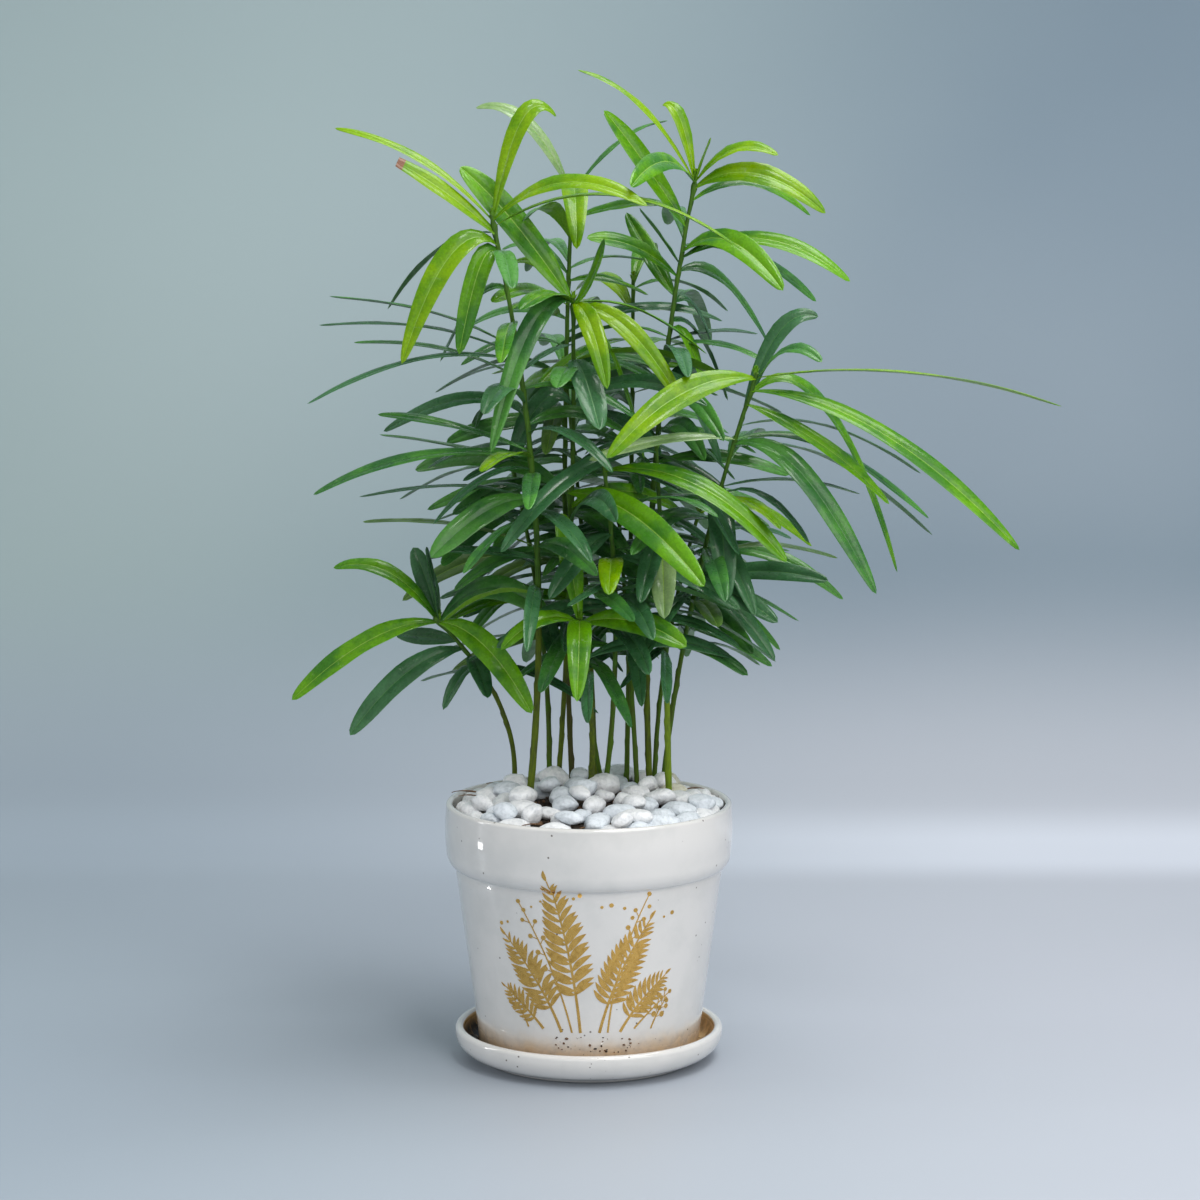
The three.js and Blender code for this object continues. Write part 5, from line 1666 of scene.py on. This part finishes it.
class PODOCARPUS_OT_stems(bpy.types.Operator):
    """Make the bare lower stems with the relief of their bark"""

    bl_idname = "podocarpus.stems"
    bl_label = "Stems"
    bl_options = {"REGISTER", "UNDO"}

    def execute(self, context):
        settings = context.scene.podocarpus_stem
        barks = {
            "olive": bark_material("olive_bark", settings.olive_colour, (0.070, 0.090, 0.022)),
            "green": bark_material("green_bark", settings.green_colour, (0.080, 0.110, 0.024)),
            "brown": bark_material("brown_bark", settings.brown_colour, (0.095, 0.085, 0.035)),
            "lime": bark_material("bright_bark", settings.lime_colour, (0.100, 0.150, 0.022))}
        for number, seedling in enumerate(SEEDLINGS):
            curve = stem_curve(seedling)
            length = curve.length()
            end = place_at_height(curve, seedling.leaves_from)
            step = seeded_run(SEEDS["scars"] + number)
            scars, height = [], FIRST_SCAR
            while height < end * length - LAST_SCAR:
                scars.append((height / length, step() * 360))
                height += mix(*SCAR_PITCH, step())
            shape = Shape()
            add_stem(shape, curve, -STEM_SUNK / length, end, seedling.stout, settings,
                     SEEDS["stem"] + number, scars)
            name = f"{number + 1:02d}"
            shape.piece(f"bark_{name}", [barks[seedling.bark]], "bark", [f"stem_{name}"], sharp=70)
        return {"FINISHED"}


class PODOCARPUS_OT_shoots(bpy.types.Operator):
    """Grow the leafy shoots: twigs, leaves and buds"""

    bl_idname = "podocarpus.shoots"
    bl_label = "Leafy Shoots"
    bl_options = {"REGISTER", "UNDO"}

    def execute(self, context):
        settings = context.scene.podocarpus_leaf
        stem_settings = context.scene.podocarpus_stem
        crown = Crown()
        if len(crown.leaves) < FEWEST_LEAVES:
            raise RuntimeError("the crown has too few leaves")
        materials = self.leaf_materials(settings)
        twig_green = bark_material(
            "twig_green", stem_settings.twig_colour, (0.045, 0.10, 0.02), roughness=0.45)
        for number, seedling in enumerate(SEEDLINGS):
            curve = crown.curves[number]
            mine = [leaf for leaf, owner in zip(crown.leaves, crown.owners) if owner == number]
            start = place_at_height(curve, seedling.leaves_from)
            name = f"{number + 1:02d}"
            twig = Shape()
            cushions = [(min(leaf[0], LAST_CUSHION), leaf[1]) for leaf in mine]
            add_stem(twig, curve, start - TWIG_OVERLAP, 1, seedling.stout, stem_settings,
                     SEEDS["twig"] + number, cushions)
            node = [f"leafy_shoot_{name}"]
            twig.piece(f"twig_{name}", [twig_green], "bark", node, sharp=70)
            foliage = Shape()
            leaf_seed, bud_seed = (
                SEEDS[kind] + number * SEEDS_PER_SHOOT[kind] for kind in ("leaf", "bud"))
            for i, leaf in enumerate(mine, leaf_seed):
                add_leaf(foliage, curve, leaf, i, settings.thickness / MM, settings.fold)
            bud_tone = "lime" if seedling.bud[2] > SUNLIT_HEIGHT else "fresh"
            add_bud(foliage, curve, bud_seed, bud_tone)
            foliage.piece(f"leaves_{name}", materials, "leaf", node, sharp=50)
        return {"FINISHED"}

    def leaf_materials(self, s):
        """The materials of the leaves, from their settings. Their order is that of TONES, then the
        midribs, the undersides and the dry tip."""
        return [
            leaf_material("leaf_dark", s.dark_colour, (0.027, 0.104, 0.034), 0.24, 0.2),
            leaf_material("leaf_mid", s.mid_colour, (0.031, 0.128, 0.030), 0.24, 0.18),
            leaf_material("leaf_fresh", s.fresh_colour, (0.040, 0.170, 0.010), 0.22, 0.14),
            leaf_material("leaf_lime", s.lime_colour, (0.088, 0.235, 0.0), 0.22, 0.12),
            leaf_material("leaf_olive", s.olive_colour, (0.070, 0.165, 0.030), 0.34),
            # The pale tone is partly a painted highlight.
            leaf_material("leaf_pale", s.pale_colour, (0.150, 0.270, 0.085), 0.28, 0.42),
            leaf_material("midrib_dark", (0.060, 0.190, 0.045), (0.042, 0.145, 0.035), 0.34),
            leaf_material("midrib_light", (0.240, 0.420, 0.050), (0.170, 0.340, 0.030), 0.34),
            leaf_material("underside", s.under_colour, (0.055, 0.160, 0.048), 0.45, 0.3),
            leaf_material("underside_young", (0.150, 0.320, 0.015), (0.100, 0.240, 0.012), 0.42, 0.3),
            leaf_material("dry_tip", s.scorch_colour, (0.18, 0.08, 0.045), 0.6, 0.2, vein=0.8)]


# The stage is in metres. The backdrop runs along the floor to where it bends up into the wall.
BACKDROP_FRONT = -3.0
BACKDROP_BEND = 0.42
BACKDROP_ROUND = 0.5
BACKDROP_TOP = 3.2
BACKDROP_HALF = 3.5
# Across these places, in metres, the painted shadow on the floor fades out to the right and the
# painted shade on the backdrop fades in.
SHADE_EDGES = (-0.35, 0.3)
CLOUD_COLOUR = (0.36, 0.42, 0.45, 1)
CAMERA_PLACE = (0, -1.566, 0.4333)
CAMERA_TILT = 8.095               # degrees, downwards
CAMERA_LENS = 105.24
CAMERA_SENSOR = 36
CAMERA_SHIFT = 0.0093
SKY_COLOUR = (0.86, 0.88, 0.90, 1)
SKY_STRENGTH = 0.55

# Each light: its name, its place, what it aims at, its width and height, its power and its colour.
DAYLIGHT = (1.0, 1.0, 1.0)
LIGHTS = (
    ("key_light", (1.2, -1.6, 1.5), (0, 0, 0.22), (1.6, 1.6), 21.5, (1.0, 0.99, 0.97)),
    ("front_fill", (-0.3, -1.9, 0.55), (0, 0, 0.25), (1.2, 0.8), 2.2, DAYLIGHT),
    ("small_window", (0.3, -0.9, 1.75), (0, 0, 0.25), (0.35, 0.35), 7, DAYLIGHT),
    ("low_card", (-0.42, 0.0, 0.03), (0, 0, 0.09), (0.035, 0.03), 0.04, DAYLIGHT),
    ("top_light", (0.5, 0.1, 1.7), (-0.05, -0.05, 0.1), (1.0, 0.8), 20, DAYLIGHT),
    ("left_window", (-1.5, 0.1, 0.55), (0, 0, 0.3), (0.15, 1.0), 2.4, DAYLIGHT),
)


class PODOCARPUS_OT_stage(bpy.types.Operator):
    """Set up the floor, backdrop, soft lights and camera"""

    bl_idname = "podocarpus.stage"
    bl_label = "Stage"
    bl_options = {"REGISTER", "UNDO"}

    def execute(self, context):
        settings = context.scene.podocarpus_stage
        self.add_backdrop(context, settings)
        self.add_lights(context, settings.light)
        camera = bpy.data.objects.new("camera", bpy.data.cameras.new("camera"))
        context.scene.collection.objects.link(camera)
        camera.location = CAMERA_PLACE
        camera.rotation_euler = (math.radians(90 - CAMERA_TILT), 0, 0)
        camera.data.lens = CAMERA_LENS
        camera.data.sensor_width = CAMERA_SENSOR
        camera.data.shift_x = CAMERA_SHIFT
        context.scene.camera = camera
        context.scene.view_settings.view_transform = "Standard"
        return {"FINISHED"}

    def add_backdrop(self, context, settings):
        """A sheet that runs over the floor and bends up behind the plant."""
        line = [(BACKDROP_FRONT, 0.0), (BACKDROP_BEND, 0.0)]
        for turn in np.radians(np.linspace(6, 90, 15)):
            across, up = BACKDROP_ROUND * math.sin(turn), BACKDROP_ROUND * math.cos(turn)
            line += [(BACKDROP_BEND + across, BACKDROP_ROUND - up)]
        line += [(BACKDROP_BEND + BACKDROP_ROUND, BACKDROP_TOP)]
        corners = [(x, y, z) for y, z in line for x in (-BACKDROP_HALF, BACKDROP_HALF)]
        faces = [(2 * i, 2 * i + 1, 2 * i + 3, 2 * i + 2) for i in range(len(line) - 1)]
        mesh = bpy.data.meshes.new("backdrop")
        mesh.from_pydata(corners, [], faces)
        mesh.shade_smooth()
        backdrop = bpy.data.objects.new("backdrop", mesh)
        context.scene.collection.objects.link(backdrop)
        mesh.materials.append(self.backdrop_material(settings))
        backdrop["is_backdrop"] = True

    def backdrop_material(self, settings):
        material, tree, shader = new_material("backdrop_paper", Roughness=0.5)
        along, depth, up = axes(tree)
        # Painted shade: the backdrop darkens and cools to the right, and its edge leans so that more
        # of its foot lies in shade.
        leaning = maths(tree, "SUBTRACT", plus(tree, along, 0.12), times(tree, up, 0.5))
        wall = blended(tree, stepped(tree, leaning, *SHADE_EDGES), solid(settings.wall_colour),
                       solid(settings.wall_shade))
        # The floor's left side holds a painted shadow.
        floor = blended(tree, stepped(tree, along, *SHADE_EDGES), solid(settings.floor_shade),
                        solid(settings.floor_colour))
        colour = blended(tree, stepped(tree, up, 0.0, 0.14), floor, wall)
        cloud = add_node(
            tree, "ShaderNodeTexNoise", Vector=position(tree), Scale=1.6, Detail=3.0).outputs["Fac"]
        colour = blended(tree, stepped(tree, cloud, 0.3, 0.7, 0.0, 0.2), colour, CLOUD_COLOUR)
        # The floor dims to the back, the bend catches a band of light, and the wall brightens upward.
        light = times(tree, stepped(tree, depth, -0.5, 0.3, 1.06, 0.9),
                      stepped(tree, depth, 0.5, 0.56, 1.0, 0.94))
        light = times(tree, light, stepped(tree, up, 0.1, 0.46, 1.0, 1.2))
        gleam = times(tree, stepped(tree, depth, 0.35, 0.42),
                      stepped(tree, depth, 0.46, 0.53, 1.0, 0.0))
        gleam = times(tree, gleam, stepped(tree, along, -0.1, 0.25, 0.06, 0.3))
        lit = add_node(
            tree, "ShaderNodeHueSaturation", Color=colour, Value=plus(tree, light, gleam))
        feed(tree, shader, {"Base Color": lit.outputs["Color"]})
        # Seen from behind, the sheet lets the camera look through to the plant.
        from_behind = times(tree, add_node(tree, "ShaderNodeNewGeometry").outputs["Backfacing"],
                            add_node(tree, "ShaderNodeLightPath").outputs["Is Camera Ray"])
        clear = add_node(tree, "ShaderNodeBsdfTransparent").outputs["BSDF"]
        shown = add_node(tree, "ShaderNodeMixShader", numbered={
            0: from_behind, 1: shader.outputs["BSDF"], 2: clear}).outputs["Shader"]
        feed(tree, tree.nodes["Material Output"], {"Surface": shown})
        return material

    def add_lights(self, context, share):
        for name, place, aim, size, power, colour in LIGHTS:
            data = bpy.data.lights.new(name, "AREA")
            data.shape = "RECTANGLE"
            data.size, data.size_y = size
            data.energy = power * share
            data.color = colour
            light = bpy.data.objects.new(name, data)
            light.location = place
            light.rotation_euler = (Vector(aim) - Vector(place)).to_track_quat("-Z", "Y").to_euler()
            context.scene.collection.objects.link(light)
        world = bpy.data.worlds.new("soft_sky")
        world.use_nodes = True
        feed(world.node_tree, world.node_tree.nodes["Background"], {
            "Color": SKY_COLOUR, "Strength": SKY_STRENGTH * share})
        context.scene.world = world


class PODOCARPUS_PT_panel(bpy.types.Panel):
    """Buttons for each piece of the potted podocarpus"""

    bl_idname = "PODOCARPUS_PT_panel"
    bl_label = "Podocarpus"
    bl_space_type = "VIEW_3D"
    bl_region_type = "UI"
    bl_category = "Podocarpus"

    def draw(self, context):
        for operator, pointer in STEPS:
            box = self.layout.box()
            box.operator(operator.bl_idname)
            group = getattr(context.scene, pointer)
            for name in group.__annotations__:
                box.prop(group, name)


STEPS = (
    (PODOCARPUS_OT_saucer, "podocarpus_pot"),
    (PODOCARPUS_OT_pot, "podocarpus_pot"),
    (PODOCARPUS_OT_gilding, "podocarpus_pot"),
    (PODOCARPUS_OT_soil, "podocarpus_bed"),
    (PODOCARPUS_OT_pebbles, "podocarpus_bed"),
    (PODOCARPUS_OT_stems, "podocarpus_stem"),
    (PODOCARPUS_OT_shoots, "podocarpus_leaf"),
    (PODOCARPUS_OT_stage, "podocarpus_stage"),
)

GROUPS = {
    "podocarpus_pot": PotSettings,
    "podocarpus_bed": BedSettings,
    "podocarpus_stem": StemSettings,
    "podocarpus_leaf": LeafSettings,
    "podocarpus_stage": StageSettings,
}


def register():
    for pointer, group in GROUPS.items():
        bpy.utils.register_class(group)
        setattr(bpy.types.Scene, pointer, bpy.props.PointerProperty(type=group))
    for operator, _ in STEPS:
        bpy.utils.register_class(operator)
    bpy.utils.register_class(PODOCARPUS_PT_panel)


def unregister():
    bpy.utils.unregister_class(PODOCARPUS_PT_panel)
    for operator, _ in reversed(STEPS):
        bpy.utils.unregister_class(operator)
    for pointer, group in reversed(GROUPS.items()):
        delattr(bpy.types.Scene, pointer)
        bpy.utils.unregister_class(group)


def main():
    register()
    for operator, _ in STEPS:
        module, name = operator.bl_idname.split(".")
        getattr(getattr(bpy.ops, module), name)()
    boxes = {"cad": CAD_BOX, "visual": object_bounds()}
    {key: [list(corner) for corner in box] for key, box in boxes.items()}


if __name__ == "__main__":
    main()
